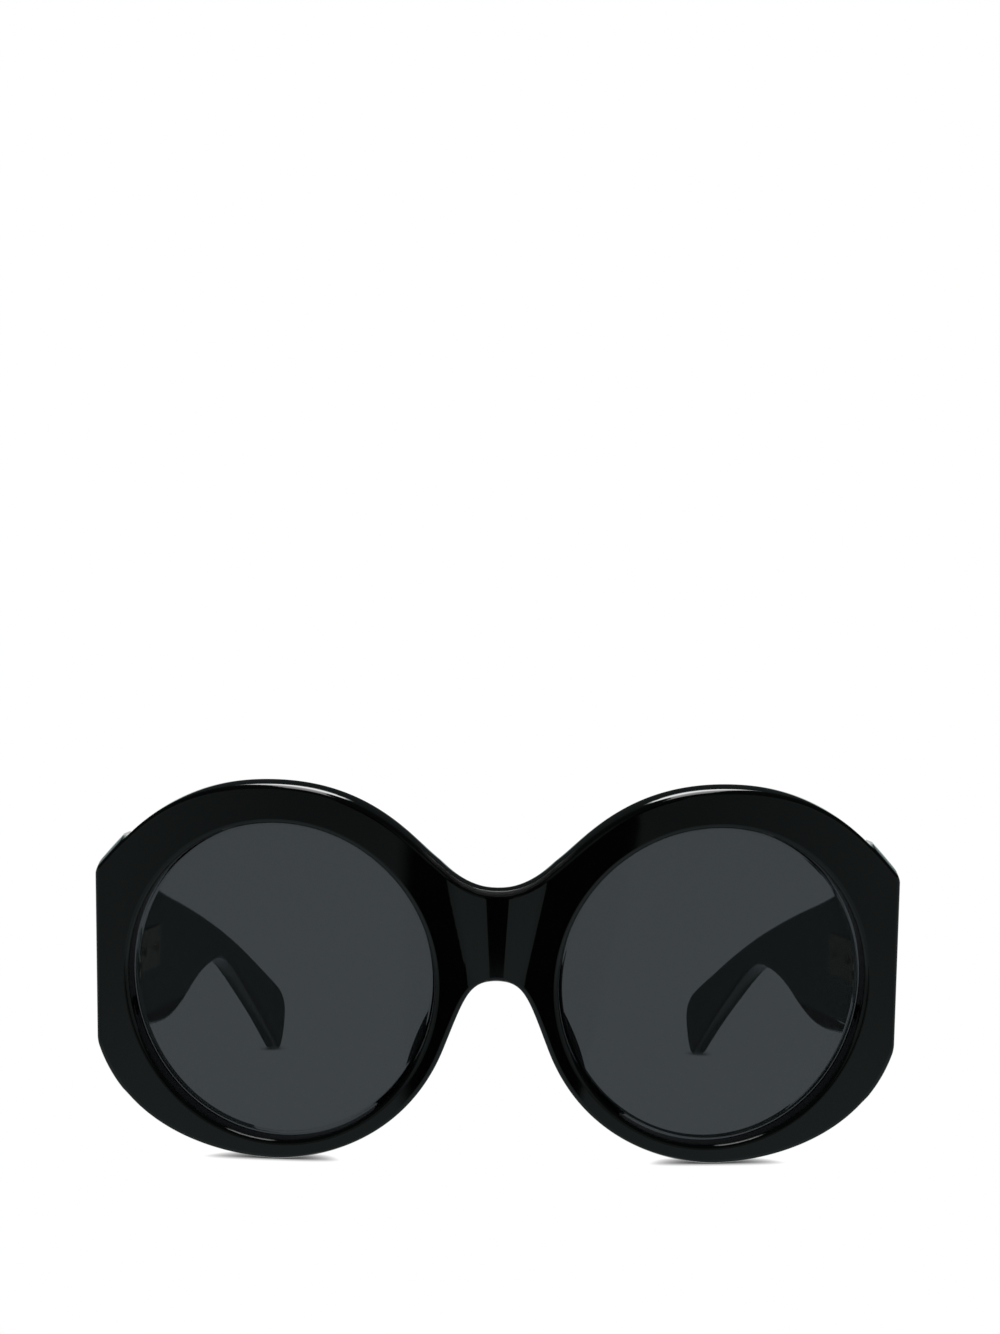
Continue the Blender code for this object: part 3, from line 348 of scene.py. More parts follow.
class Finishes(PropertyGroup):
    plastic: colour("Plastic", "Colour of the black plastic", (0.0006, 0.0007, 0.0008))
    plastic_warm: colour("Plastic, warm", "Its warmer drift", (0.0010, 0.0008, 0.0008))
    pad: colour("Pad", "Smoky plastic of the nose pads", (0.150, 0.160, 0.165))
    pad_deep: colour("Pad, deep", "Its deeper drift", (0.130, 0.140, 0.145))
    lens: colour("Lens", "What the lens lets through", (0.0490, 0.0560, 0.0605))
    lens_deep: colour("Lens, deep", "Its deeper drift", (0.0480, 0.0550, 0.0595))
    # Both gold tones are duller than bright plating. The darkening is painted shade, for the
    # hinge that sits in the shade of the front.
    gold: colour("Gold", "Plating of the hinge", (0.34, 0.24, 0.12))
    gold_pale: colour("Gold, pale", "Where the plating is thin", (0.40, 0.30, 0.17))
    steel: colour("Steel", "Colour of pins and cores", (0.56, 0.56, 0.57))
    steel_dark: colour("Steel, dark", "Its darker drift", (0.44, 0.44, 0.46))
    polish: share("Polish", "Roughness of the polished plastic", 0.03)


class StudioSettings(PropertyGroup):
    camera_side: FloatProperty(
        name="Camera side", description="Camera to the right", default=-0.00005, unit="LENGTH"
    )
    camera_distance: length("Camera distance", "Camera before the flat front", 0.5)
    camera_height: length("Camera height", "Camera above the floor", 0.08592)
    camera_pitch: angle("Camera pitch", "Camera up from straight down", 90.38)
    camera_roll: angle("Camera roll", "Camera anticlockwise", 0.67)
    focal_length: FloatProperty(
        name="Focal length", description="In millimetres on a 36 mm sensor", default=100.0
    )
    floor_half: length("Floor half", "Half of the floor's side", 4.0)
    floor: colour("Floor", "Colour of the floor", (0.85, 0.85, 0.85))
    contact: length("Contact shadow", "Reach of the shadow where a rim stands", 0.0022)
    tone: colour("Studio tone", "Colour of the room in front", (0.82, 1.0, 0.99))


SETTINGS = {
    "glasses_front": FrontSizes,
    "glasses_lens": LensSizes,
    "glasses_temple": TempleSizes,
    "glasses_hinge": HingeSizes,
    "glasses_finish": Finishes,
    "glasses_studio": StudioSettings,
}


# Mesh helpers.
def new_object(name, mesh):
    obj = bpy.data.objects.new(name, mesh)
    bpy.context.scene.collection.objects.link(obj)
    return obj


def from_bmesh(name, bm):
    mesh = bpy.data.meshes.new(name)
    bm.to_mesh(mesh)
    bm.free()
    return mesh


def edited(mesh, change):
    """The mesh after a change to it in bmesh."""
    bm = bmesh.new()
    bm.from_mesh(mesh)
    change(bm)
    bm.to_mesh(mesh)
    bm.free()
    return mesh


def evaluated(obj):
    """A plain mesh of the object as its modifiers leave it."""
    bpy.context.view_layer.update()
    graph = bpy.context.evaluated_depsgraph_get()
    return bpy.data.meshes.new_from_object(obj.evaluated_get(graph))


def baked(obj):
    """The object's evaluated mesh, welded. The object is removed."""
    mesh = evaluated(obj)
    bpy.data.objects.remove(obj, do_unlink=True)
    return edited(mesh, lambda bm: bmesh.ops.remove_doubles(bm, verts=bm.verts, dist=WELD))


def faces_out(mesh):
    return edited(mesh, lambda bm: bmesh.ops.recalc_face_normals(bm, faces=bm.faces))


def everything(bm):
    return bm.verts[:] + bm.edges[:] + bm.faces[:]


def carved(mesh, joins=(), cuts=()):
    """The mesh with others joined to it and then cut out of it."""
    body = new_object("carved", mesh)
    tools = []
    for operation, others in (("UNION", joins), ("DIFFERENCE", cuts)):
        for other in others:
            tools.append(new_object("tool", other))
            modifier = body.modifiers.new(operation, "BOOLEAN")
            modifier.operation = operation
            modifier.solver = "EXACT"
            modifier.object = tools[-1]
    result = baked(body)
    for tool in tools:
        bpy.data.objects.remove(tool, do_unlink=True)
    if not result.polygons:
        raise RuntimeError(f"{mesh.name}: nothing is left after carving")
    return faces_out(result)


def merged(meshes):
    """One mesh of several that don't touch."""
    bm = bmesh.new()
    for mesh in meshes:
        bm.from_mesh(mesh)
    return from_bmesh("merged", bm)


def moved(mesh, matrix):
    mesh.transform(matrix)
    if matrix.determinant() < 0:
        mesh.flip_normals()
    return mesh


def shifted(mesh, x, y, z):
    return moved(mesh, Matrix.Translation((x, y, z)))


def mirrored(mesh):
    """A copy on the other side of the middle."""
    return moved(mesh.copy(), Matrix.Scale(-1, 4, Vector((1, 0, 0))))


def block_mesh(low, high, edge=0.0):
    """A block from its corners, with rounded edges if asked."""
    bm = bmesh.new()
    bmesh.ops.create_cube(bm, size=1.0)
    size = Vector(high) - Vector(low)
    middle = (Vector(high) + Vector(low)) * HALF_SHARE
    place = Matrix.Translation(middle) @ Matrix.Diagonal(size.to_4d())
    bmesh.ops.transform(bm, matrix=place, verts=bm.verts)
    if edge:
        bmesh.ops.bevel(
            bm, geom=bm.edges[:], offset=edge, segments=2, profile=HALF_SHARE, affect="EDGES"
        )
    return from_bmesh("block", bm)


def turned_mesh(profile, steps, stretch=1.0):
    """Points of (radius, height) turned about Z and stretched along Y.

    A profile that keeps off the axis is closed into a ring.
    """
    turns = [math.tau * step / steps for step in range(steps)]
    bm = bmesh.new()
    rings = []
    for radius, height in profile:
        if radius < WELD:
            rings.append([bm.verts.new((0, 0, height))] * steps)
            continue
        places = [(radius * math.cos(a), radius * math.sin(a) * stretch, height) for a in turns]
        rings.append([bm.verts.new(place) for place in places])
    pairs = list(zip(rings, rings[1:]))
    if profile[0][0] > WELD:
        pairs.append((rings[-1], rings[0]))
    for first, second in pairs:
        for one in range(steps):
            two = (one + 1) % steps
            corners = dict.fromkeys((first[one], first[two], second[two], second[one]))
            bm.faces.new(list(corners))
    bmesh.ops.recalc_face_normals(bm, faces=bm.faces)
    return from_bmesh("turned", bm)


def rod_mesh(radius, low, high, chamfer=0.0):
    """A rod along Z, with chamfered ends if asked."""
    if not chamfer:
        return turned_mesh([(0, low), (radius, low), (radius, high), (0, high)], ROUND_STEPS)
    eased = radius - chamfer
    profile = [(0, low), (eased, low), (radius, low + chamfer)]
    profile += [(radius, high - chamfer), (eased, high), (0, high)]
    return turned_mesh(profile, ROUND_STEPS)


def sliced(mesh, axis, places):
    """Cuts edges into the mesh where it will bend."""
    normal = Vector((0, 0, 0))
    normal[axis] = 1

    def slice_all(bm):
        for place in places:
            bmesh.ops.bisect_plane(
                bm, geom=everything(bm), dist=WELD, plane_co=normal * place, plane_no=normal
            )

    return edited(mesh, slice_all)


def spaced(low, high, spacing):
    count = max(1, math.ceil((high - low) / spacing))
    return [float(place) for place in np.linspace(low, high, count + 1)]


def flattened(mesh):
    """Joins faces that lie in one plane, so that later slices cut clean cells."""
    return edited(
        mesh,
        lambda bm: bmesh.ops.dissolve_limit(
            bm, angle_limit=FLAT_ANGLE, verts=bm.verts, edges=bm.edges, delimit={"SHARP"}
        ),
    )


def triangulated(mesh):
    """Triangles, with the borders of the sheet's two faces kept as creases of its shading."""

    def crease(bm):
        bmesh.ops.triangulate(bm, faces=bm.faces)
        bm.normal_update()
        for edge in bm.edges:
            level = {abs(face.normal.z) > LEVEL_SHARE for face in edge.link_faces}
            edge.smooth = len(level) == 1

    return edited(mesh, crease)


def bent(mesh, rule):
    """Moves every vertex by a rule that takes and gives an array of points."""
    points = np.empty(len(mesh.vertices) * 3)
    mesh.vertices.foreach_get("co", points)
    mesh.vertices.foreach_set("co", rule(points.reshape(-1, 3)).ravel())
    mesh.update()
    return mesh


def add_piece(name, mesh, body, material, nodes):
    """A finished piece: smooth round its edges, level on its flats, and riding on a body."""

    def shade(bm):
        for face in bm.faces:
            face.smooth = True
        for edge in bm.edges:
            if edge.calc_face_angle(0) > SHARP_ANGLE:
                edge.smooth = False

    mesh.name = name
    edited(mesh, shade)
    mesh.materials.clear()
    mesh.materials.append(material)
    obj = new_object(name, mesh)
    level = obj.modifiers.new("level", "WEIGHTED_NORMAL")
    level.mode = "FACE_AREA"
    level.weight = LEVEL_WEIGHT
    level.keep_sharp = True
    finished = evaluated(obj)
    finished.name = name
    obj.modifiers.clear()
    obj.data = finished
    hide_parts(*nodes)
    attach(obj, body)


# Flat outlines.
def toward(heading):
    return Vector((math.cos(heading), math.sin(heading)))


class Anchor:
    """A point of an outline, with its heading in and out and how far each pulls."""

    def __init__(self, point, heading, pulls, heading_out=None):
        self.point = Vector(point)
        self.heading = heading
        self.heading_out = heading if heading_out is None else heading_out
        self.pull, self.pull_out = pulls

    def handles(self):
        into = toward(self.heading) * self.pull
        out = toward(self.heading_out) * self.pull_out
        return self.point - into, self.point + out

    def mirrored(self):
        pulls = (self.pull_out, self.pull)
        return Anchor((-self.point.x, self.point.y), -self.heading_out, pulls, -self.heading)


def rounded_corner(point, heading_in, pull_in, heading_out, pull_out):
    arc = CORNER_RADIUS * HALF_SHARE
    before = Vector(point) - toward(heading_in) * CORNER_RADIUS
    after = Vector(point) + toward(heading_out) * CORNER_RADIUS
    return [
        Anchor(before, heading_in, (pull_in, arc)),
        Anchor(after, heading_out, (arc, pull_out)),
    ]


def outline(anchors, spacing):
    """Points along the closed curve through the anchors."""
    points = []
    for first, second in zip(anchors, anchors[1:] + anchors[:1]):
        control = [first.point, first.handles()[1], second.handles()[0], second.point]
        reach = sum((b - a).length for a, b in zip(control, control[1:]))
        steps = max(CORNER_STEPS, math.ceil(reach / spacing))
        for step in range(steps):
            t = step / steps
            weights = ((1 - t) ** 3, 3 * t * (1 - t) ** 2, 3 * t * t * (1 - t), t**3)
            points.append(sum((p * w for p, w in zip(control, weights)), Vector((0, 0))))
    return points


def ellipse_anchors(u, v, half_width, half_height):
    """Anticlockwise, so that the loop is a hole in a clockwise outline."""
    pull_share = 4 * (math.sqrt(2) - 1) / 3
    across = half_width * pull_share
    up = half_height * pull_share
    return [
        Anchor((u + half_width, v), math.pi / 2, (up, up)),
        Anchor((u, v + half_height), math.pi, (across, across)),
        Anchor((u - half_width, v), -math.pi / 2, (up, up)),
        Anchor((u, v - half_height), 0, (across, across)),
    ]


def crowned(mesh, half):
    """Side walls bowed outwards a little, as polishing leaves them."""

    def bow(bm):
        bm.normal_update()
        moves = []
        for vert in bm.verts:
            if abs(vert.co.z) < half - WELD:
                out = Vector((vert.normal.x, vert.normal.y, 0)).normalized()
                moves.append((vert, out * half * CROWN_SHARE * (1 - (vert.co.z / half) ** 2)))
        for vert, move in moves:
            vert.co += move

    return edited(sliced(mesh, 2, [half * row for row in CROWN_ROWS]), bow)


def sheet_mesh(loops, thickness, edge_round, swell=0.0):
    """Closed loops of points as a flat sheet about Z = 0, with rounded edges."""
    half = thickness * HALF_SHARE - edge_round - SKIN
    curve = bpy.data.curves.new("sheet", "CURVE")
    curve.dimensions = "2D"
    curve.fill_mode = "BOTH"
    curve.extrude = half
    curve.bevel_depth = edge_round
    curve.bevel_resolution = EDGE_ROUND_STEPS
    crown = half * CROWN_SHARE if edge_round else 0
    curve.offset = swell - edge_round - SKIN - crown
    for points in loops:
        spline = curve.splines.new("POLY")
        spline.points.add(len(points) - 1)
        spline.use_cyclic_u = True
        for target, point in zip(spline.points, points):
            target.co = (point.x, point.y, 0, 1)
    mesh = faces_out(baked(new_object("sheet", curve)))
    if edge_round:
        crowned(mesh, half)
    return flattened(mesh)


# Bends in plan.
def ramp(value, start, end):
    return np.clip((value - start) / (end - start), 0.0, 1.0)


class PlanCurve:
    """A curve in plan from its heading: how far along and how far aside it has gone."""

    def __init__(self, heading):
        step = FAR / PLAN_STEPS
        self.distance = np.linspace(0, FAR, PLAN_STEPS + 1)
        angles = heading(self.distance[:-1] + step * HALF_SHARE)
        self.along = np.concatenate([[0], np.cumsum(np.cos(angles))]) * step
        self.aside = np.concatenate([[0], np.cumsum(np.sin(angles))]) * step

    def at(self, distance):
        along = np.interp(distance, self.distance, self.along)
        aside = np.interp(distance, self.distance, self.aside)
        return along, aside


class FrontShape:
    """Places on the flat front that follow from its sizes, and its bend."""

    def __init__(self, sizes):
        self.sizes = sizes
        self.lens_u = sizes.bridge_half_width + sizes.opening_half_width
        self.lens_v = sizes.rim_foot + sizes.opening_half_height
        self.side_u = self.lens_u + sizes.opening_half_width + sizes.rim_side
        self.side_top_v = self.lens_v + SIDE_TOP_RISE
        self.side_foot_v = self.lens_v - SIDE_FOOT_DROP
        self.rim_top_v = self.lens_v + sizes.opening_half_height + sizes.rim_brow
        self.bridge_top_v = self.lens_v + BRIDGE_RISE
        self.arch_top_v = self.bridge_top_v - BRIDGE_HEIGHT
        self.block_start = self.lens_u + sizes.opening_half_width + BLOCK_MARGIN
        self.wrap_start = sizes.bridge_half_width + WRAP_LAND
        self.wrap_end = self.block_start - WRAP_SQUARE_WIDTH
        self.bump = PlanCurve(self.bump_heading)
        self.wrap = PlanCurve(self.wrap_heading)
        self.lean = np.array(Matrix.Rotation(sizes.lean, 3, "X"))

    def bump_heading(self, u):
        rise = ramp(u, BUMP_START, BUMP_START + BUMP_RAMP)
        fall = ramp(u, BUMP_END - BUMP_RAMP, BUMP_END)
        return self.sizes.bump_angle * (rise - fall)

    def wrap_heading(self, u):
        return np.maximum(u - self.wrap_start, 0.0) / self.sizes.wrap_radius

    def bent(self, flat):
        """From the flat sheet, whose face is up, to its place before the origin is set."""
        reach = np.abs(flat[:, 0])
        side = np.where(flat[:, 0] >= 0, 1.0, -1.0)
        depth = -flat[:, 2]
        middle = (self.bridge_top_v + self.arch_top_v) * HALF_SHARE
        scale = 1 + BUMP_FLARE_SHARE * (flat[:, 1] - middle) / BUMP_END
        scale = np.clip(scale, *BUMP_SCALE_SHARES)
        full = self.bump.at(FAR)[1]
        raised = (self.bump.at(reach / scale)[1] - full) * scale
        along, aside = self.wrap.at(reach)
        along = along - (reach - self.bump.at(reach)[0])
        wrapped = ramp(reach, self.wrap_start - WELD, self.wrap_start)
        square = ramp(reach, self.wrap_end, self.block_start)
        turn = self.wrap_heading(reach) * wrapped * (1 - square)
        within = np.minimum(depth, self.sizes.sheet)
        across = along - within * np.sin(turn)
        back = aside + raised + within * np.cos(turn)
        points = np.stack([side * across, back, flat[:, 1]], axis=1) @ self.lean.T
        points[:, 2] -= FRONT_DROP
        points[:, 1] += depth - within
        return points

    def place(self, u, v, depth):
        return Vector(self.bent(np.array([[u, v, -depth]]))[0])

    def anchors(self):
        sizes = self.sizes
        saddle_u = sizes.bridge_half_width * SADDLE_U_SHARE
        flank_u = sizes.bridge_half_width * FLANK_U_SHARE
        saddle_v = self.bridge_top_v + SADDLE_RISE
        flank_v = self.arch_top_v - FLANK_DROP
        down = -math.pi / 2
        right = [
            Anchor((saddle_u, saddle_v), SADDLE_HEADING, SADDLE_PULLS),
            Anchor((self.lens_u + RIM_TOP_SHIFT, self.rim_top_v), 0, RIM_TOP_PULLS),
            *rounded_corner(
                (self.side_u, self.side_top_v),
                SIDE_TOP_HEADING,
                SIDE_TOP_PULL,
                down,
                CORNER_RADIUS,
            ),
            *rounded_corner(
                (self.side_u, self.side_foot_v),
                down,
                CORNER_RADIUS,
                SIDE_FOOT_HEADING,
                SIDE_FOOT_PULL,
            ),
            Anchor((self.lens_u + RIM_FOOT_SHIFT, 0), -math.pi, (RIM_FOOT_PULL,) * 2),
            Anchor((flank_u, flank_v), NOSE_FLANK_HEADING, NOSE_FLANK_PULLS),
        ]
        top = Anchor((0, self.bridge_top_v), 0, (BRIDGE_PULL,) * 2)
        arch = Anchor((0, self.arch_top_v), math.pi, (ARCH_PULL,) * 2)
        return [top, *right, arch, *[anchor.mirrored() for anchor in reversed(right)]]


class TempleShape:
    """Places that follow from where the temple meets the front, and the temple's bend."""

    def __init__(self, temple, hinge, front):
        self.temple = temple
        self.hinge = hinge
        sheet = front.sizes.sheet
        self.side_top = front.place(front.side_u, front.side_top_v, sheet)
        self.side_foot = front.place(front.side_u, front.side_foot_v, sheet)
        self.mitre_y = self.side_foot.y + BLOCK_LAND
        self.outer_x = self.side_top.x
        self.axis = Vector(
            (
                self.outer_x - temple.thickness - hinge.inset,
                self.mitre_y + hinge.setback,
                self.side_foot.z + hinge.rise,
            )
        )
        gaps = hinge.knuckle_gap * (KNUCKLE_COUNT - 1)
        self.stack = hinge.knuckle_height * KNUCKLE_COUNT + gaps
        self.plate_half = self.stack * HALF_SHARE + PLATE_MARGIN
        self.plate_start = hinge.setback + hinge.knuckle_radius + PLATE_CLEARANCE
        self.plate_end = self.plate_start + hinge.temple_plate
        self.plate_face = temple.thickness + TEMPLE_PLATE_PROUD
        self.front_plate_end = self.outer_x - FRONT_PLATE_BORDER
        self.front_plate_back = self.mitre_y - PLATE_SINK
        self.plan = PlanCurve(self.heading)

    def heading(self, t):
        return self.temple.toe_in + self.temple.bow * t / self.temple.length

    def bent(self, flat):
        """From the flat right temple, whose outer face is up, to its place."""
        t = flat[:, 0]
        reach = np.maximum(t, 0)
        back, inward = self.plan.at(reach)
        heading = self.heading(reach)
        lead = np.minimum(t, 0)
        taper = ramp(t, self.temple.length * TAPER_START_SHARE, self.temple.length)
        inset = -flat[:, 2] * (1 - self.temple.taper * taper)
        inward = inward + lead * np.sin(heading) + inset * np.cos(heading)
        back = back + lead * np.cos(heading) - inset * np.sin(heading)
        start = self.mitre_y + SEAT_GAP
        return np.stack([self.outer_x - inward, start + back, flat[:, 1]], axis=1)

    def place(self, t, z, inset):
        return Vector(self.bent(np.array([[t, z, -inset]]))[0])

    def placed(self, shares):
        return shares[0] * self.temple.length, shares[1] * self.side_top.z

    def anchors(self):
        fore_top = (-TEMPLE_TRIM, self.side_top.z - TEMPLE_TRIM * math.tan(ROOT_HEADING))
        fore_foot = (-TEMPLE_TRIM, self.side_foot.z)
        foot_pull, top_pull = [pull * self.temple.length for pull in ROOT_PULL_SHARES]
        turns = []
        for shares, heading, pull_shares in TEMPLE_TURNS:
            pulls = [pull * self.temple.length for pull in pull_shares]
            turns.append(Anchor(self.placed(shares), math.radians(heading), pulls))
        return [
            *rounded_corner(fore_top, math.pi / 2, CORNER_RADIUS, ROOT_HEADING, top_pull),
            *turns,
            *rounded_corner(fore_foot, -math.pi, foot_pull, math.pi / 2, CORNER_RADIUS),
        ]

    def knuckle_low(self, index):
        pitch = self.hinge.knuckle_height + self.hinge.knuckle_gap
        return self.axis.z - self.stack * HALF_SHARE + pitch * index

    def rivet_places(self):
        """Origin on the temple leaf's face and direction into the plastic, for each rivet."""
        places = []
        for along_share in TEMPLE_PIN_SHARES:
            t = self.plate_start + self.hinge.temple_plate * along_share
            heading = self.heading(t)
            into = Vector((math.cos(heading), math.sin(heading), 0))
            places.append((self.place(t, self.axis.z, self.plate_face), into))
        return places

    def front_pin_places(self):
        x = self.front_plate_end - FRONT_PIN_BORDER
        rise = self.plate_half * 2 * FRONT_PIN_RISE_SHARE
        into = Vector((0, -1, 0))
        return [
            (Vector((x, self.front_plate_back, self.axis.z + side * rise)), into)
            for side in (1, -1)
        ]


def shapes(scene):
    front = FrontShape(scene.glasses_front)
    return front, TempleShape(scene.glasses_temple, scene.glasses_hinge, front)


def origin_shift(temple):
    """From the drawing's own axes to the frame's, through the right hinge."""
    fold = next(joint for joint in frame["joints"] if joint["name"] == "fold_right")
    return Matrix.Translation(Vector(fold["pos_m"]) - temple.axis)


def arm_place(temple, side):
    """Turns a temple's pieces about their hinge and puts them on the frame's origin."""
    axis = Vector((side * temple.axis.x, temple.axis.y, 0))
    turn = Matrix.Rotation(temple.temple.turn, 4, "Z")
    about = Matrix.Translation(axis) @ turn @ Matrix.Translation(-axis)
    return origin_shift(temple) @ about


def add_pair(temple, name, mesh, nodes, material, on_arm=False):
    """The right piece and its mirror image, on the front or each on its own temple."""
    for side, suffix in SIDES:
        place = arm_place(temple, side) if on_arm else origin_shift(temple)
        body = f"arm_{suffix}" if on_arm else "front"
        own = moved(mesh.copy() if side > 0 else mirrored(mesh), place)
        own_nodes = [f"{node}_{suffix}" for node in nodes]
        add_piece(f"{name}_{suffix}", own, body, material, own_nodes)


def aimed(place, into):
    """A matrix at a place whose Z points into the plastic."""
    return Matrix.Translation(place) @ into.to_track_quat("Z", "Y").to_matrix().to_4x4()


def pin_holes(places, low, high):
    """One cutter of the holes for these pins or rivets."""
    rods = []
    for place, into in places:
        rods.append(moved(rod_mesh(PIN_HOLE_RADIUS, low, high), aimed(place, into)))
    return merged(rods)


def on_axis(temple, mesh):
    return shifted(mesh, temple.axis.x, temple.axis.y, 0)


# Materials. Groups give values that change over the surface; shaders stay outside them.
def add_node(tree, kind, inputs=(), **settings):
    """A node with its settings. An input is a plain value, or a socket to link to it."""
    node = tree.nodes.new(kind)
    for name, value in settings.items():
        setattr(node, name, value)
    for key, value in dict(inputs).items():
        if isinstance(value, bpy.types.NodeSocket):
            tree.links.new(value, node.inputs[key])
        else:
            node.inputs[key].default_value = value
    return node


def add_sockets(tree, way, kind, labels):
    for label in labels:
        tree.interface.new_socket(label, in_out=way, socket_type=f"NodeSocket{kind}")


def math_node(tree, operation, *values):
    inputs = dict(enumerate(values))
    return add_node(tree, "ShaderNodeMath", inputs, operation=operation).outputs[0]


def product(tree, first, *others):
    for other in others:
        first = math_node(tree, "MULTIPLY", first, other)
    return first


def mapped(tree, value, from_low, from_high, to_low=0.0, to_high=1.0, **settings):
    inputs = {
        "Value": value,
        "From Min": from_low,
        "From Max": from_high,
        "To Min": to_low,
        "To Max": to_high,
    }
    return add_node(tree, "ShaderNodeMapRange", inputs, **settings).outputs["Result"]


def over(tree, value, limit, soft):
    """1 where the value is over the limit, with a soft edge."""
    return mapped(tree, value, limit - soft, limit + soft, interpolation_type="SMOOTHSTEP")


def under(tree, value, limit, soft):
    return math_node(tree, "SUBTRACT", 1.0, over(tree, value, limit, soft))


def band(tree, value, low, high, soft):
    return product(tree, over(tree, value, low, soft), under(tree, value, high, soft))


def blended(tree, factor, first, second):
    """first where the factor is 0, second where it is 1."""
    change = math_node(tree, "SUBTRACT", second, first)
    return math_node(tree, "ADD", product(tree, change, factor), first)


def noise(tree, vector, scale, detail):
    inputs = {"Vector": vector, "Scale": scale, "Detail": detail}
    return add_node(tree, "ShaderNodeTexNoise", inputs).outputs["Fac"]


def polish_group():
    """Roughness of a hand-polished surface: a low haze with faint wiping marks."""
    name = "polish_haze"
    if name in bpy.data.node_groups:
        return bpy.data.node_groups[name]
    group = bpy.data.node_groups.new(name, "ShaderNodeTree")
    add_sockets(group, "INPUT", "Float", ("Scale", "Base", "Haze", "Marks"))
    add_sockets(group, "OUTPUT", "Float", ("Roughness", "Height"))
    given = group.nodes.new("NodeGroupInput").outputs
    place = add_node(group, "ShaderNodeTexCoord").outputs["Object"]
    haze = noise(group, place, given["Scale"], HAZE_DETAIL)
    stretch = {"Vector": place, "Rotation": WIPE_TURN, "Scale": WIPE_STRETCH}
    wiped = add_node(group, "ShaderNodeMapping", stretch).outputs["Vector"]
    fine = product(group, given["Scale"], WIPE_FINENESS)
    marks = noise(group, wiped, fine, WIPE_DETAIL)
    lines = math_node(group, "POWER", marks, WIPE_SHARPNESS)
    hazed = product(group, haze, given["Haze"])
    marked = product(group, lines, given["Marks"])
    total = math_node(group, "ADD", math_node(group, "ADD", hazed, marked), given["Base"])
    add_node(group, "NodeGroupOutput", {"Roughness": total, "Height": marks})
    return group


def drift_group():
    """A colour that drifts slowly between two tones."""
    name = "colour_drift"
    if name in bpy.data.node_groups:
        return bpy.data.node_groups[name]
    group = bpy.data.node_groups.new(name, "ShaderNodeTree")
    add_sockets(group, "INPUT", "Color", ("Tone", "Drift"))
    add_sockets(group, "INPUT", "Float", ("Scale",))
    add_sockets(group, "OUTPUT", "Color", ("Colour",))
    given = group.nodes.new("NodeGroupInput").outputs
    place = add_node(group, "ShaderNodeTexCoord").outputs["Object"]
    drift = noise(group, place, given["Scale"], DRIFT_DETAIL)
    inputs = {"Factor": drift, MIX_FIRST: given["Tone"], MIX_SECOND: given["Drift"]}
    mix = add_node(group, "ShaderNodeMix", inputs, data_type="RGBA")
    add_node(group, "NodeGroupOutput", {"Colour": mix.outputs[2]})
    return group


def new_material(name, tones, drift_scale, values):
    """A material whose colour drifts between two tones, with plain values on its shader."""
    material = bpy.data.materials.new(name)
    material.use_nodes = True
    tree = material.node_tree
    shader = tree.nodes["Principled BSDF"]
    inputs = {"Tone": (*tones[0], 1), "Drift": (*tones[1], 1), "Scale": drift_scale}
    drift = add_node(tree, "ShaderNodeGroup", inputs, node_tree=drift_group())
    tree.links.new(drift.outputs["Colour"], shader.inputs["Base Color"])
    for label, value in values.items():
        shader.inputs[label].default_value = value
    return material


def polished(name, kind, tones, roughness):
    """A material of a polished kind, made once for all its pieces."""
    if name in bpy.data.materials:
        return bpy.data.materials[name]
    material = new_material(name, tones, kind["drift"], kind["shader"])
    tree = material.node_tree
    shader = tree.nodes["Principled BSDF"]
    inputs = {**kind["polish"], "Base": roughness}
    polish = add_node(tree, "ShaderNodeGroup", inputs, node_tree=polish_group()).outputs
    relief = {"Strength": 1.0, "Distance": kind["relief"], "Height": polish["Height"]}
    bump = add_node(tree, "ShaderNodeBump", relief)
    tree.links.new(polish["Roughness"], shader.inputs["Roughness"])
    tree.links.new(bump.outputs["Normal"], shader.inputs["Normal"])
    return material


def dull_saddle(material):
    """Less polish on top of the bridge, where the wheel hardly reaches."""
    tree = material.node_tree
    rough = tree.nodes["Principled BSDF"].inputs["Roughness"]
    where = add_node(tree, "ShaderNodeTexCoord").outputs
    place = add_node(tree, "ShaderNodeSeparateXYZ", {0: where["Object"]}).outputs
    facing = add_node(tree, "ShaderNodeSeparateXYZ", {0: where["Normal"]}).outputs
    near = mapped(tree, math_node(tree, "ABSOLUTE", place["X"]), *SADDLE_DULL, 1.0, 0.0)
    forward = product(tree, facing["Y"], -1.0)
    front = band(tree, forward, *SADDLE_DULL_FORWARD, SADDLE_DULL_SOFT)
    edge = product(tree, front, mapped(tree, facing["Z"], *SADDLE_DULL_RISE))
    dull = product(tree, near, edge, SADDLE_ROUGHNESS)
    tree.links.new(math_node(tree, "ADD", rough.links[0].from_socket, dull), rough)


def black_plastic(name, finish):
    return polished(name, PLASTIC, (finish.plastic, finish.plastic_warm), finish.polish)


# Pieces.
def lens_ring(front, lens, profile, side=1):
    """A profile turned into an oval about the middle of an opening of the flat front."""
    sizes = front.sizes
    stretch = sizes.opening_half_height / sizes.opening_half_width
    depth = sizes.sheet * HALF_SHARE + lens.shift
    ring = turned_mesh(profile, LENS_STEPS, stretch)
    return shifted(ring, side * front.lens_u, front.lens_v, -depth)


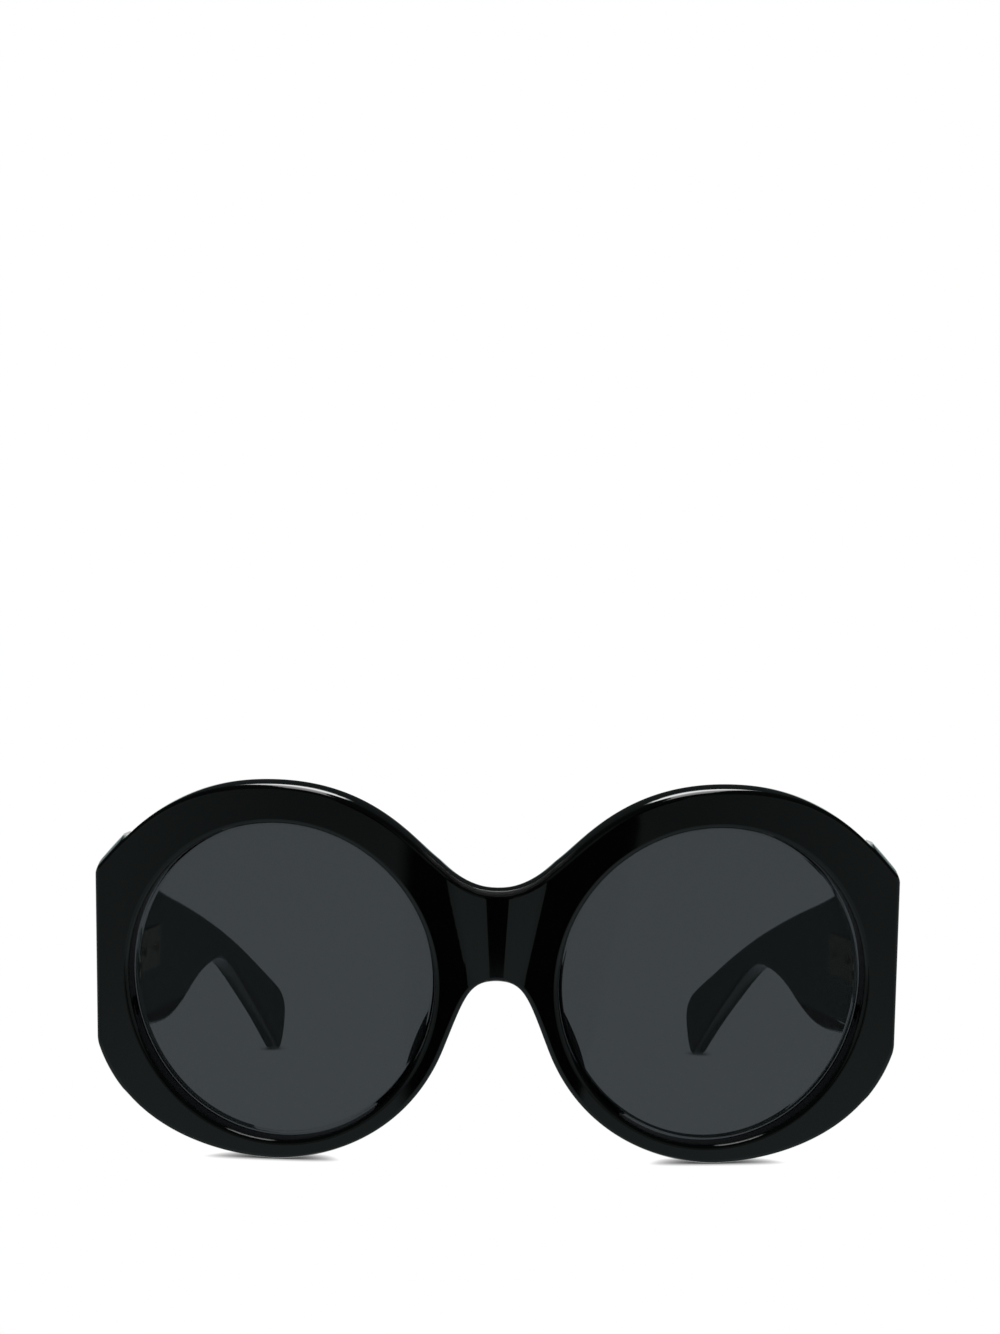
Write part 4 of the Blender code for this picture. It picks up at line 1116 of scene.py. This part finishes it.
def front_flat(front, lens):
    """The front before it is bent: the sheet, its end blocks and the lens grooves."""
    sizes = front.sizes
    outer = outline(front.anchors(), OUTLINE_SPACING)
    half = (sizes.opening_half_width, sizes.opening_half_height)
    openings = [
        outline(ellipse_anchors(side * front.lens_u, front.lens_v, *half), OPENING_SPACING)
        for side in (1, -1)
    ]
    flat = sheet_mesh([outer, *openings], sizes.sheet, sizes.edge_round)
    shifted(flat, 0, 0, -sizes.sheet * HALF_SHARE)
    thick = sizes.sheet + BLOCK_DEPTH - BLOCK_OVERLAP
    deep = sheet_mesh([outer], thick, 0, swell=BLOCK_PROUD)
    shifted(deep, 0, 0, -(sizes.sheet + BLOCK_DEPTH + BLOCK_OVERLAP) * HALF_SHARE)
    trims = [
        block_mesh((-front.block_start, -FAR, -FAR), (front.block_start, FAR, FAR)),
        block_mesh((-FAR, -FAR, -FAR), (FAR, front.side_foot_v, FAR)),
    ]
    blocks = carved(deep, cuts=trims)
    inner = sizes.opening_half_width - lens.clearance
    rim = sizes.opening_half_width + lens.groove
    ridge = rim - inner
    profile = [(inner, ridge), (rim, 0), (inner, -ridge)]
    grooves = [lens_ring(front, lens, profile, side) for side in (1, -1)]
    return carved(flat, joins=[blocks], cuts=[merged(grooves)])


def front_slices(front):
    bump = spaced(BUMP_SPACING, BUMP_REACH, BUMP_SPACING)
    wrap = spaced(BUMP_REACH, front.wrap_end, BEND_SPACING)[1:]
    right = [*bump, *wrap, front.block_start]
    return [0.0, *right, *[-place for place in right]]


def end_block_cuts(temple):
    """What the hinge needs out of both end blocks: the joint's plane, pockets, pin holes."""
    reach = temple.plate_half + SEAT_GAP
    hinge = temple.hinge
    floor = temple.front_plate_back - hinge.plate - SEAT_GAP
    mitre = block_mesh((-FAR, temple.mitre_y, -FAR), (FAR, FAR, FAR))
    pocket = block_mesh(
        (temple.axis.x - hinge.knuckle_radius * 2, floor, temple.axis.z - reach),
        (temple.front_plate_end + SEAT_GAP, FAR, temple.axis.z + reach),
    )
    holes = pin_holes(temple.front_pin_places(), 0, hinge.pin_length + SEAT_GAP)
    return [mitre, merged([pocket, mirrored(pocket)]), merged([holes, mirrored(holes)])]


def build_front(scene):
    front, temple = shapes(scene)
    flat = front_flat(front, scene.glasses_lens)
    flattened(flat)
    sliced(flat, 2, [-front.sizes.sheet])
    sliced(flat, 0, front_slices(front))
    sliced(flat, 1, spaced(CELL_SPACING, front.rim_top_v - CELL_SPACING, CELL_SPACING))
    mesh = bent(triangulated(flat), front.bent)
    mesh = carved(mesh, cuts=end_block_cuts(temple))
    moved(mesh, origin_shift(temple))
    material = black_plastic("front_black", scene.glasses_finish)
    dull_saddle(material)
    add_piece("front_polished", mesh, "front", material, ["front_frame"])


def build_lenses(scene):
    """Each lens: rings from its middle to an eased edge, with a ridge for the groove."""
    front, temple = shapes(scene)
    lens = scene.glasses_lens
    sizes = front.sizes
    half = lens.thickness * HALF_SHARE
    rim = sizes.opening_half_width - lens.clearance
    eased = rim - lens.edge_ease
    radii = spaced(0, eased, LENS_RING_SPACING)
    profile = [(radius, half) for radius in radii]
    profile += [(rim, half - lens.edge_ease), (rim, lens.bevel), (rim + lens.bevel, 0)]
    profile += [(rim, -lens.bevel), (rim, lens.edge_ease - half)]
    profile += [(radius, -half) for radius in reversed(radii)]
    mesh = bent(triangulated(lens_ring(front, lens, profile)), front.bent)
    finish = scene.glasses_finish
    material = new_material("lens_tint", (finish.lens, finish.lens_deep), LENS_DRIFT, LENS)
    add_pair(temple, "lens_tinted", mesh, ("lens",), material)


def build_pads(scene):
    """Each nose pad: an egg, flat where it is glued, bent with the front."""
    front, temple = shapes(scene)
    sizes = front.sizes
    across, rings = PAD_STEPS
    bm = bmesh.new()
    bmesh.ops.create_uvsphere(bm, u_segments=across, v_segments=rings, radius=1)
    size = Matrix.Diagonal((sizes.pad_half_width, sizes.pad_half_depth, sizes.pad_half_height, 1))
    stand = Matrix.Rotation(-math.pi / 2, 4, "X")
    lean = Matrix.Rotation(PAD_LEAN, 4, "Z")
    place = (
        sizes.bridge_half_width + PAD_SETBACK,
        front.lens_v - PAD_DROP,
        -(sizes.sheet + PAD_STANDOFF),
    )
    matrix = Matrix.Translation(place) @ lean @ stand @ size
    bmesh.ops.transform(bm, matrix=matrix, verts=bm.verts)
    seat = Vector((0, 0, -(sizes.sheet + SEAT_GAP)))
    cut = bmesh.ops.bisect_plane(
        bm,
        geom=everything(bm),
        dist=WELD,
        plane_co=seat,
        plane_no=Vector((0, 0, 1)),
        clear_outer=True,
    )
    rim = [item for item in cut["geom_cut"] if isinstance(item, bmesh.types.BMEdge)]
    bmesh.ops.holes_fill(bm, edges=rim)
    mesh = faces_out(from_bmesh("pad", bm))
    bent(mesh, front.bent)
    finish = scene.glasses_finish
    material = polished("pad_smoke", PLASTIC, (finish.pad, finish.pad_deep), PAD_ROUGHNESS)
    add_pair(temple, "pad_polished", mesh, ("nose_pad",), material)


def core_channel(temple):
    """The blind channel of the stiffening wire, bowed with the temple."""
    curve = bpy.data.curves.new("channel", "CURVE")
    curve.dimensions = "3D"
    curve.bevel_depth = CORE_CHANNEL_RADIUS
    curve.bevel_resolution = CORE_SIDE_STEPS
    curve.use_fill_caps = True
    spline = curve.splines.new("BEZIER")
    spline.resolution_u = CORE_PATH_STEPS
    end_t, end_z = temple.placed(CORE_END_SHARES)
    path = [
        (-TEMPLE_TRIM * 2, CORE_START_SHARE * temple.side_top.z),
        temple.placed(CORE_MIDDLE_SHARES),
        temple.placed(CORE_NECK_SHARES),
        (end_t + CORE_END_GAP, end_z - CORE_END_GAP * HALF_SHARE),
    ]
    spline.bezier_points.add(len(path) - 1)
    for point, (t, z) in zip(spline.bezier_points, path):
        point.co = (t, z, -temple.temple.thickness * HALF_SHARE)
        point.handle_left_type = "AUTO"
        point.handle_right_type = "AUTO"
    return bent(faces_out(baked(new_object("channel", curve))), temple.bent)


def flat_temple_block(temple, low, high, edge=0.0):
    """A block in the flat temple's own T, Z and inset, put in its place."""
    flat = block_mesh((low[0], low[1], -high[2]), (high[0], high[1], -low[2]), edge)
    return bent(flat, temple.bent)


def temple_cuts(temple):
    """The butt plane, the recess for the leaf, the rivet holes and the core's channel."""
    reach = temple.plate_half + SEAT_GAP
    floor = temple.plate_face - temple.hinge.plate - SEAT_GAP
    butt = block_mesh((0, -FAR, -FAR), (FAR, temple.mitre_y + SEAT_GAP, FAR))
    recess = flat_temple_block(
        temple,
        (-TEMPLE_TRIM * 2, temple.axis.z - reach, floor),
        (temple.plate_end + SEAT_GAP, temple.axis.z + reach, temple.temple.thickness * 2),
    )
    holes = pin_holes(temple.rivet_places(), 0, temple.hinge.pin_length)
    return [butt, recess, holes, core_channel(temple)]


def build_temples(scene):
    _, temple = shapes(scene)
    sizes = temple.temple
    flat = sheet_mesh(
        [outline(temple.anchors(), OUTLINE_SPACING)], sizes.thickness, sizes.edge_round
    )
    shifted(flat, 0, 0, -sizes.thickness * HALF_SHARE)
    sliced(flat, 0, spaced(0, sizes.length - BEND_SPACING, BEND_SPACING))
    sliced(flat, 1, spaced(CELL_SPACING, temple.side_top.z - CELL_SPACING, CELL_SPACING))
    mesh = bent(triangulated(flat), temple.bent)
    mesh = carved(mesh, cuts=temple_cuts(temple))
    material = black_plastic("temple_black", scene.glasses_finish)
    nodes = ("temple",)
    add_pair(temple, "temple_polished", mesh, nodes, material, on_arm=True)


def knuckles(temple, first):
    """Every other knuckle of the stack, with chamfered rims."""
    hinge = temple.hinge
    made = []
    for index in range(first, KNUCKLE_COUNT, 2):
        low = temple.knuckle_low(index)
        high = low + hinge.knuckle_height
        rod = rod_mesh(hinge.knuckle_radius, low, high, KNUCKLE_CHAMFER)
        made.append((on_axis(temple, rod), low, high))
    return made


def bore(temple):
    rod = rod_mesh(HINGE_BORE_RADIUS, -FAR, FAR)
    moved(rod, Matrix.Rotation(math.pi / ROUND_STEPS, 4, "Z"))
    return on_axis(temple, rod)


def front_leaf(temple):
    """The right front leaf: a plate sunk in the end block, with three knuckles."""
    hinge = temple.hinge
    back = temple.front_plate_back
    plate = block_mesh(
        (temple.axis.x, back - hinge.plate, temple.axis.z - temple.plate_half),
        (temple.front_plate_end, back, temple.axis.z + temple.plate_half),
        PLATE_ROUND,
    )
    joins = []
    half_neck = hinge.knuckle_radius * NECK_WIDTH_SHARE
    for knuckle, low, high in knuckles(temple, 0):
        neck = block_mesh(
            (temple.axis.x - half_neck, back - hinge.plate * HALF_SHARE, low + NECK_EASE),
            (temple.axis.x + half_neck, temple.axis.y - KNUCKLE_EASE, high - NECK_EASE),
        )
        joins += [knuckle, neck]
    holes = pin_holes(temple.front_pin_places(), -temple.plate_half, temple.plate_half)
    return carved(plate, joins, [bore(temple), holes])


def temple_leaf(temple):
    """The right temple leaf: a plate on the inner face, with two knuckles."""
    hinge = temple.hinge
    face = temple.plate_face
    plate = flat_temple_block(
        temple,
        (temple.plate_start, temple.axis.z - temple.plate_half, face - hinge.plate),
        (temple.plate_end, temple.axis.z + temple.plate_half, face),
        PLATE_ROUND,
    )
    fore = temple.place(temple.plate_start, temple.axis.z, face)
    joins = []
    for knuckle, low, high in knuckles(temple, 1):
        arm = block_mesh(
            (temple.axis.x + KNUCKLE_EASE, temple.axis.y - KNUCKLE_EASE, low + NECK_EASE),
            (fore.x + hinge.plate * ARM_BITE_SHARE, fore.y + hinge.plate, high - NECK_EASE),
        )
        joins += [knuckle, arm]
    holes = pin_holes(temple.rivet_places(), -temple.plate_half, temple.plate_half)
    return carved(plate, joins, [bore(temple), holes])


def screw(temple):
    """The hinge screw: a shank through the knuckles, with a slotted, eased head on top."""
    hinge = temple.hinge
    top = temple.knuckle_low(KNUCKLE_COUNT)
    foot = temple.knuckle_low(0) - SCREW_TAIL
    high = top + hinge.screw_head
    radius = hinge.screw_radius
    head = hinge.screw_head_radius
    ease = KNUCKLE_CHAMFER
    profile = [(0, foot), (radius - ease, foot), (radius, foot + ease), (radius, top)]
    profile += [(head - ease, top), (head, top + ease), (head, high - ease * 2)]
    profile += [(head - ease, high - ease * HALF_SHARE), (head * HALF_SHARE, high), (0, high)]
    body = on_axis(temple, turned_mesh(profile, ROUND_STEPS))
    half = SLOT_WIDTH * HALF_SHARE
    slot = block_mesh(
        (temple.axis.x - head * 2, temple.axis.y - half, high - SLOT_DEPTH),
        (temple.axis.x + head * 2, temple.axis.y + half, high + SLOT_DEPTH),
    )
    return carved(body, cuts=[slot])


def build_hinges(scene):
    _, temple = shapes(scene)
    finish = scene.glasses_finish
    # These gold tones hold painted shade: they are darkened for the hinge in the shade of the
    # front.
    tones = (finish.gold, finish.gold_pale)
    leaf = polished("leaf_gold", METAL, tones, LEAF_ROUGHNESS)
    bright = polished("screw_gold", METAL, tones, SCREW_ROUGHNESS)
    made = (
        ("front_leaf", front_leaf(temple), "hinge_front_leaf", "hinge_metal", leaf, False),
        ("temple_leaf", temple_leaf(temple), "hinge_temple_leaf", "hinge_metal", leaf, True),
        ("slotted_screw", screw(temple), "hinge_screw", "screw_metal", bright, False),
    )
    for name, mesh, node, slot, material, on_arm in made:
        add_pair(temple, name, mesh, (node,), material, on_arm)


def fastener_tree():
    """Geometry Nodes: a shank with a domed head on every point, aimed by its attribute."""
    name = "domed_fasteners"
    if name in bpy.data.node_groups:
        return bpy.data.node_groups[name]
    tree = bpy.data.node_groups.new(name, "GeometryNodeTree")
    tree.is_modifier = True
    lengths = ("Head Radius", "Head Height", "Head Gap", "Shank Radius", "Shank Length")
    add_sockets(tree, "INPUT", "Geometry", ("Geometry",))
    add_sockets(tree, "INPUT", "Float", lengths)
    add_sockets(tree, "INPUT", "Int", ("Sides",))
    add_sockets(tree, "INPUT", "Material", ("Material",))
    add_sockets(tree, "OUTPUT", "Geometry", ("Geometry",))
    given = tree.nodes.new("NodeGroupInput").outputs

    def raised(geometry, height):
        place = add_node(tree, "ShaderNodeCombineXYZ", {"Z": height}).outputs[0]
        inputs = {"Geometry": geometry, "Translation": place}
        return add_node(tree, "GeometryNodeTransform", inputs).outputs[0]

    def frustum(low, high):
        """A slice of the head between two points of its profile."""
        inputs = {
            "Vertices": given["Sides"],
            "Radius Bottom": product(tree, given["Head Radius"], low[1]),
            "Radius Top": product(tree, given["Head Radius"], high[1]),
            "Depth": product(tree, given["Head Height"], high[0] - low[0]),
        }
        cone = add_node(tree, "GeometryNodeMeshCone", inputs).outputs["Mesh"]
        fall = product(tree, given["Head Height"], low[0] - 1)
        return raised(cone, math_node(tree, "SUBTRACT", fall, given["Head Gap"]))

    inputs = {
        "Vertices": given["Sides"],
        "Radius": given["Shank Radius"],
        "Depth": given["Shank Length"],
    }
    shank = add_node(tree, "GeometryNodeMeshCylinder", inputs).outputs["Mesh"]
    half = product(tree, given["Shank Length"], HALF_SHARE)
    start = math_node(tree, "SUBTRACT", half, given["Head Gap"])
    neck = product(tree, given["Head Height"], HALF_SHARE)
    join = tree.nodes.new("GeometryNodeJoinGeometry")
    parts = [raised(shank, math_node(tree, "SUBTRACT", start, neck))]
    parts += [frustum(low, high) for low, high in zip(DOME, DOME[1:])]
    for part in parts:
        tree.links.new(part, join.inputs[0])
    inputs = {"Name": "into"}
    aim = add_node(tree, "GeometryNodeInputNamedAttribute", inputs, data_type="FLOAT_VECTOR")
    inputs = {"Vector": aim.outputs["Attribute"]}
    turn = add_node(tree, "FunctionNodeAlignRotationToVector", inputs, axis="Z")
    inputs = {
        "Points": given["Geometry"],
        "Instance": join.outputs[0],
        "Rotation": turn.outputs[0],
    }
    spread = add_node(tree, "GeometryNodeInstanceOnPoints", inputs)
    real = add_node(tree, "GeometryNodeRealizeInstances", {0: spread.outputs[0]})
    inputs = {"Geometry": real.outputs[0], "Material": given["Material"]}
    paint = add_node(tree, "GeometryNodeSetMaterial", inputs)
    add_node(tree, "NodeGroupOutput", {0: paint.outputs[0]})
    return tree


def fasteners_mesh(places, values):
    """The fasteners at these places, as one plain mesh in the drawing's own axes."""
    mesh = bpy.data.meshes.new("points")
    mesh.from_pydata([place for place, _ in places], [], [])
    aims = mesh.attributes.new("into", "FLOAT_VECTOR", "POINT")
    aims.data.foreach_set("vector", [value for _, into in places for value in into])
    obj = new_object("points", mesh)
    modifier = obj.modifiers.new("fasteners", "NODES")
    modifier.node_group = fastener_tree()
    for item in modifier.node_group.interface.items_tree:
        if item.in_out == "INPUT" and item.name in values:
            modifier[item.identifier] = values[item.name]
    result = evaluated(obj)
    bpy.data.objects.remove(obj, do_unlink=True)
    if not result.polygons:
        raise RuntimeError("the fasteners came out empty")
    return result


def build_fasteners(scene):
    """Rivets of the temple leaves and pins of the front leaves."""
    _, temple = shapes(scene)
    hinge = temple.hinge
    finish = scene.glasses_finish
    # The rivets share the gold tones, which are darkened as painted shade.
    gold = polished("rivet_gold", METAL, (finish.gold, finish.gold_pale), RIVET_ROUGHNESS)
    steel = polished("pin_steel", METAL, (finish.steel, finish.steel_dark), PIN_ROUGHNESS)
    rivets = {
        "Head Radius": hinge.rivet_radius,
        "Head Height": hinge.rivet_head,
        "Head Gap": SEAT_GAP,
        "Shank Radius": hinge.pin_radius,
        "Shank Length": hinge.pin_length,
        "Sides": ROUND_STEPS,
        "Material": gold,
    }
    pins = {
        **rivets,
        "Head Radius": hinge.pin_radius,
        "Head Gap": -hinge.rivet_head,
        "Material": steel,
    }
    mesh = fasteners_mesh(temple.rivet_places(), rivets)
    nodes = ("temple_pin_fore", "temple_pin_rear")
    add_pair(temple, "leaf_rivets", mesh, nodes, gold, on_arm=True)
    mesh = fasteners_mesh(temple.front_pin_places(), pins)
    nodes = ("front_pin_upper", "front_pin_lower")
    add_pair(temple, "leaf_pins", mesh, nodes, steel)


def finish_cores(scene):
    """The stiffening wires stay as packed, in drawn steel."""
    finish = scene.glasses_finish
    steel = polished("core_steel", METAL, (finish.steel, finish.steel_dark), CORE_ROUGHNESS)
    for _, suffix in SIDES:
        node = frame["nodes"][f"core_wire_{suffix}"]
        node.data.materials.clear()
        node.data.materials.append(steel)


# Stage.
def seen_plainly(tree):
    """The light path's outputs, and 1 for what the camera sees, also through the lenses."""
    path = add_node(tree, "ShaderNodeLightPath").outputs
    return path, math_node(tree, "MAXIMUM", path["Is Camera Ray"], path["Is Transmission Ray"])


def build_floor(studio):
    """Plain white to the camera but for a contact shadow, and lit as a floor for the rest."""
    half = studio.floor_half
    mesh = bpy.data.meshes.new("floor")
    corners = [(-half, -half, 0), (half, -half, 0), (half, half, 0), (-half, half, 0)]
    mesh.from_pydata(corners, [], [(0, 1, 2, 3)])
    material = bpy.data.materials.new("floor_white")
    material.use_nodes = True
    tree = material.node_tree
    tree.nodes.clear()
    lit = add_node(tree, "ShaderNodeBsdfDiffuse", {"Color": (*studio.floor, 1)})
    reach = {"Distance": studio.contact}
    shadow = add_node(tree, "ShaderNodeAmbientOcclusion", reach, samples=CONTACT_SAMPLES)
    white = add_node(tree, "ShaderNodeEmission", {"Color": shadow.outputs["Color"]})
    _, seen = seen_plainly(tree)
    inputs = {0: seen, 1: lit.outputs[0], 2: white.outputs[0]}
    mix = add_node(tree, "ShaderNodeMixShader", inputs)
    add_node(tree, "ShaderNodeOutputMaterial", {"Surface": mix.outputs[0]})
    mesh.materials.append(material)
    floor = new_object("floor", mesh)
    floor.visible_glossy = False


def room_level(tree, x, y, z):
    """Brightness of the room by direction: dim, a dark card low in front, a strip above."""
    degrees = math.degrees(1)
    ahead = product(tree, y, -1.0)
    front = product(tree, math_node(tree, "ARCTAN2", x, ahead), degrees)
    rear = product(tree, math_node(tree, "ARCTAN2", x, y), degrees)
    rise = product(tree, math_node(tree, "ARCSINE", z), degrees)
    front_off = math_node(tree, "ABSOLUTE", front)
    rear_off = math_node(tree, "ABSOLUTE", rear)

    side = mapped(tree, front_off, *ROOM_SIDE_ANGLES, ROOM_NEAR, ROOM_SIDE)
    low = mapped(tree, rise, *ROOM_LOW_ROWS, 0.0, ROOM_LOW_GAIN)
    room = math_node(tree, "ADD", side, low)
    card_right = mapped(tree, rise, *CARD_ROWS, CARD_RIGHT_LOW, CARD_RIGHT_HIGH)
    from_right = math_node(tree, "SUBTRACT", card_right, front)
    card = product(
        tree,
        over(tree, from_right, 0.0, CARD_RIGHT_SOFT),
        over(tree, front, CARD_LEFT, CARD_LEFT_SOFT),
        band(tree, rise, *CARD_RISE, CARD_RISE_SOFT),
    )
    room = blended(tree, card, room, 0.0)

    above = over(tree, rise, BACKDROP_TOP, BACKDROP_TOP_SOFT)
    room = blended(tree, above, room, ROOM_ABOVE)
    backdrop = under(tree, rear_off, BACKDROP_HALF, BACKDROP_HALF_SOFT)
    level = blended(tree, backdrop, ROOM_REAR_SIDE, 1.0)
    level = blended(tree, above, level, ROOM_ABOVE)
    behind = under(tree, rear_off, ROOM_REAR_ANGLE, ROOM_REAR_SOFT)
    room = blended(tree, behind, room, level)

    strip = product(
        tree,
        band(tree, math_node(tree, "ARCTAN2", z, y), *STRIP_RISE, STRIP_RISE_SOFT),
        under(tree, math_node(tree, "ABSOLUTE", x), STRIP_HALF_WIDTH, STRIP_SOFT),
    )
    return blended(tree, strip, room, STRIP_LEVEL)


def build_world(scene, studio):
    """White to the camera and through glass. Gloss sees a room with a dark card in front."""
    world = bpy.data.worlds.new("studio")
    scene.world = world
    world.use_nodes = True
    tree = world.node_tree
    tree.nodes.clear()
    way = add_node(tree, "ShaderNodeTexCoord").outputs["Generated"]
    room = room_level(tree, *add_node(tree, "ShaderNodeSeparateXYZ", {0: way}).outputs)
    path, seen = seen_plainly(tree)
    gloss = product(tree, path["Is Glossy Ray"], math_node(tree, "SUBTRACT", 1.0, seen))
    tinted = math_node(tree, "LESS_THAN", room, ROOM_TINTED_UNDER)
    inputs = {
        "Factor": product(tree, gloss, tinted),
        MIX_FIRST: (1, 1, 1, 1),
        MIX_SECOND: (*studio.tone, 1),
    }
    tone = add_node(tree, "ShaderNodeMix", inputs, data_type="RGBA").outputs[2]
    inputs = {"Color": tone, "Strength": blended(tree, gloss, 1.0, room)}
    light = add_node(tree, "ShaderNodeBackground", inputs)
    add_node(tree, "ShaderNodeOutputWorld", {"Surface": light.outputs[0]})


def build_camera(scene, studio, shift):
    data = bpy.data.cameras.new("camera")
    data.sensor_fit = "HORIZONTAL"
    data.sensor_width = SENSOR_MILLIMETRES
    data.lens = studio.focal_length
    data.clip_start = CAMERA_NEAR
    camera = new_object("camera", data)
    place = (studio.camera_side, shift.y - studio.camera_distance, studio.camera_height)
    camera.matrix_world = (
        Matrix.Translation(place)
        @ Matrix.Rotation(studio.camera_pitch, 4, "X")
        @ Matrix.Rotation(studio.camera_roll, 4, "Z")
    )
    scene.camera = camera


def build_stage(scene):
    studio = scene.glasses_studio
    scene.view_settings.view_transform = "Standard"
    _, temple = shapes(scene)
    build_floor(studio)
    build_world(scene, studio)
    build_camera(scene, studio, origin_shift(temple).translation)


# Operators and panel.
class GLASSES_OT_front(Operator):
    """Build the polished front with its end blocks and grooves"""

    bl_idname = "glasses.front"
    bl_label = "Front"

    def execute(self, context):
        build_front(context.scene)
        return {"FINISHED"}


class GLASSES_OT_lenses(Operator):
    """Build both tinted lenses"""

    bl_idname = "glasses.lenses"
    bl_label = "Lenses"

    def execute(self, context):
        build_lenses(context.scene)
        return {"FINISHED"}


class GLASSES_OT_pads(Operator):
    """Build both nose pads"""

    bl_idname = "glasses.pads"
    bl_label = "Nose pads"

    def execute(self, context):
        build_pads(context.scene)
        return {"FINISHED"}


class GLASSES_OT_temples(Operator):
    """Build both polished temples"""

    bl_idname = "glasses.temples"
    bl_label = "Temples"

    def execute(self, context):
        build_temples(context.scene)
        return {"FINISHED"}


class GLASSES_OT_hinges(Operator):
    """Build the leaves and the screw of both hinges"""

    bl_idname = "glasses.hinges"
    bl_label = "Hinges"

    def execute(self, context):
        build_hinges(context.scene)
        return {"FINISHED"}


class GLASSES_OT_fasteners(Operator):
    """Build the rivets and pins of the leaves"""

    bl_idname = "glasses.fasteners"
    bl_label = "Rivets and pins"

    def execute(self, context):
        build_fasteners(context.scene)
        return {"FINISHED"}


class GLASSES_OT_cores(Operator):
    """Finish the stiffening wires in the temples"""

    bl_idname = "glasses.cores"
    bl_label = "Core wires"

    def execute(self, context):
        finish_cores(context.scene)
        return {"FINISHED"}


class GLASSES_OT_stage(Operator):
    """Build the floor, the studio light and the camera"""

    bl_idname = "glasses.stage"
    bl_label = "Stage"

    def execute(self, context):
        build_stage(context.scene)
        return {"FINISHED"}


OPERATORS = (
    GLASSES_OT_front,
    GLASSES_OT_lenses,
    GLASSES_OT_pads,
    GLASSES_OT_temples,
    GLASSES_OT_hinges,
    GLASSES_OT_fasteners,
    GLASSES_OT_cores,
    GLASSES_OT_stage,
)


class GLASSES_PT_panel(Panel):
    """Settings and steps of the sunglasses"""

    bl_label = "Round Sunglasses"
    bl_idname = "GLASSES_PT_panel"
    bl_space_type = "VIEW_3D"
    bl_region_type = "UI"
    bl_category = "Sunglasses"

    def draw(self, context):
        for name, group in SETTINGS.items():
            box = self.layout.box()
            for setting in group.__annotations__:
                box.prop(getattr(context.scene, name), setting)
        for operator in OPERATORS:
            self.layout.operator(operator.bl_idname)


def register():
    for group in SETTINGS.values():
        bpy.utils.register_class(group)
    for cls in (*OPERATORS, GLASSES_PT_panel):
        bpy.utils.register_class(cls)
    for name, group in SETTINGS.items():
        setattr(bpy.types.Scene, name, PointerProperty(type=group))


def unregister():
    for name in SETTINGS:
        delattr(bpy.types.Scene, name)
    for cls in (GLASSES_PT_panel, *reversed(OPERATORS)):
        bpy.utils.unregister_class(cls)
    for group in reversed(list(SETTINGS.values())):
        bpy.utils.unregister_class(group)


def main():
    register()
    for operator in OPERATORS:
        group, step = operator.bl_idname.split(".")
        getattr(getattr(bpy.ops, group), step)()


if __name__ == "__main__":
    main()
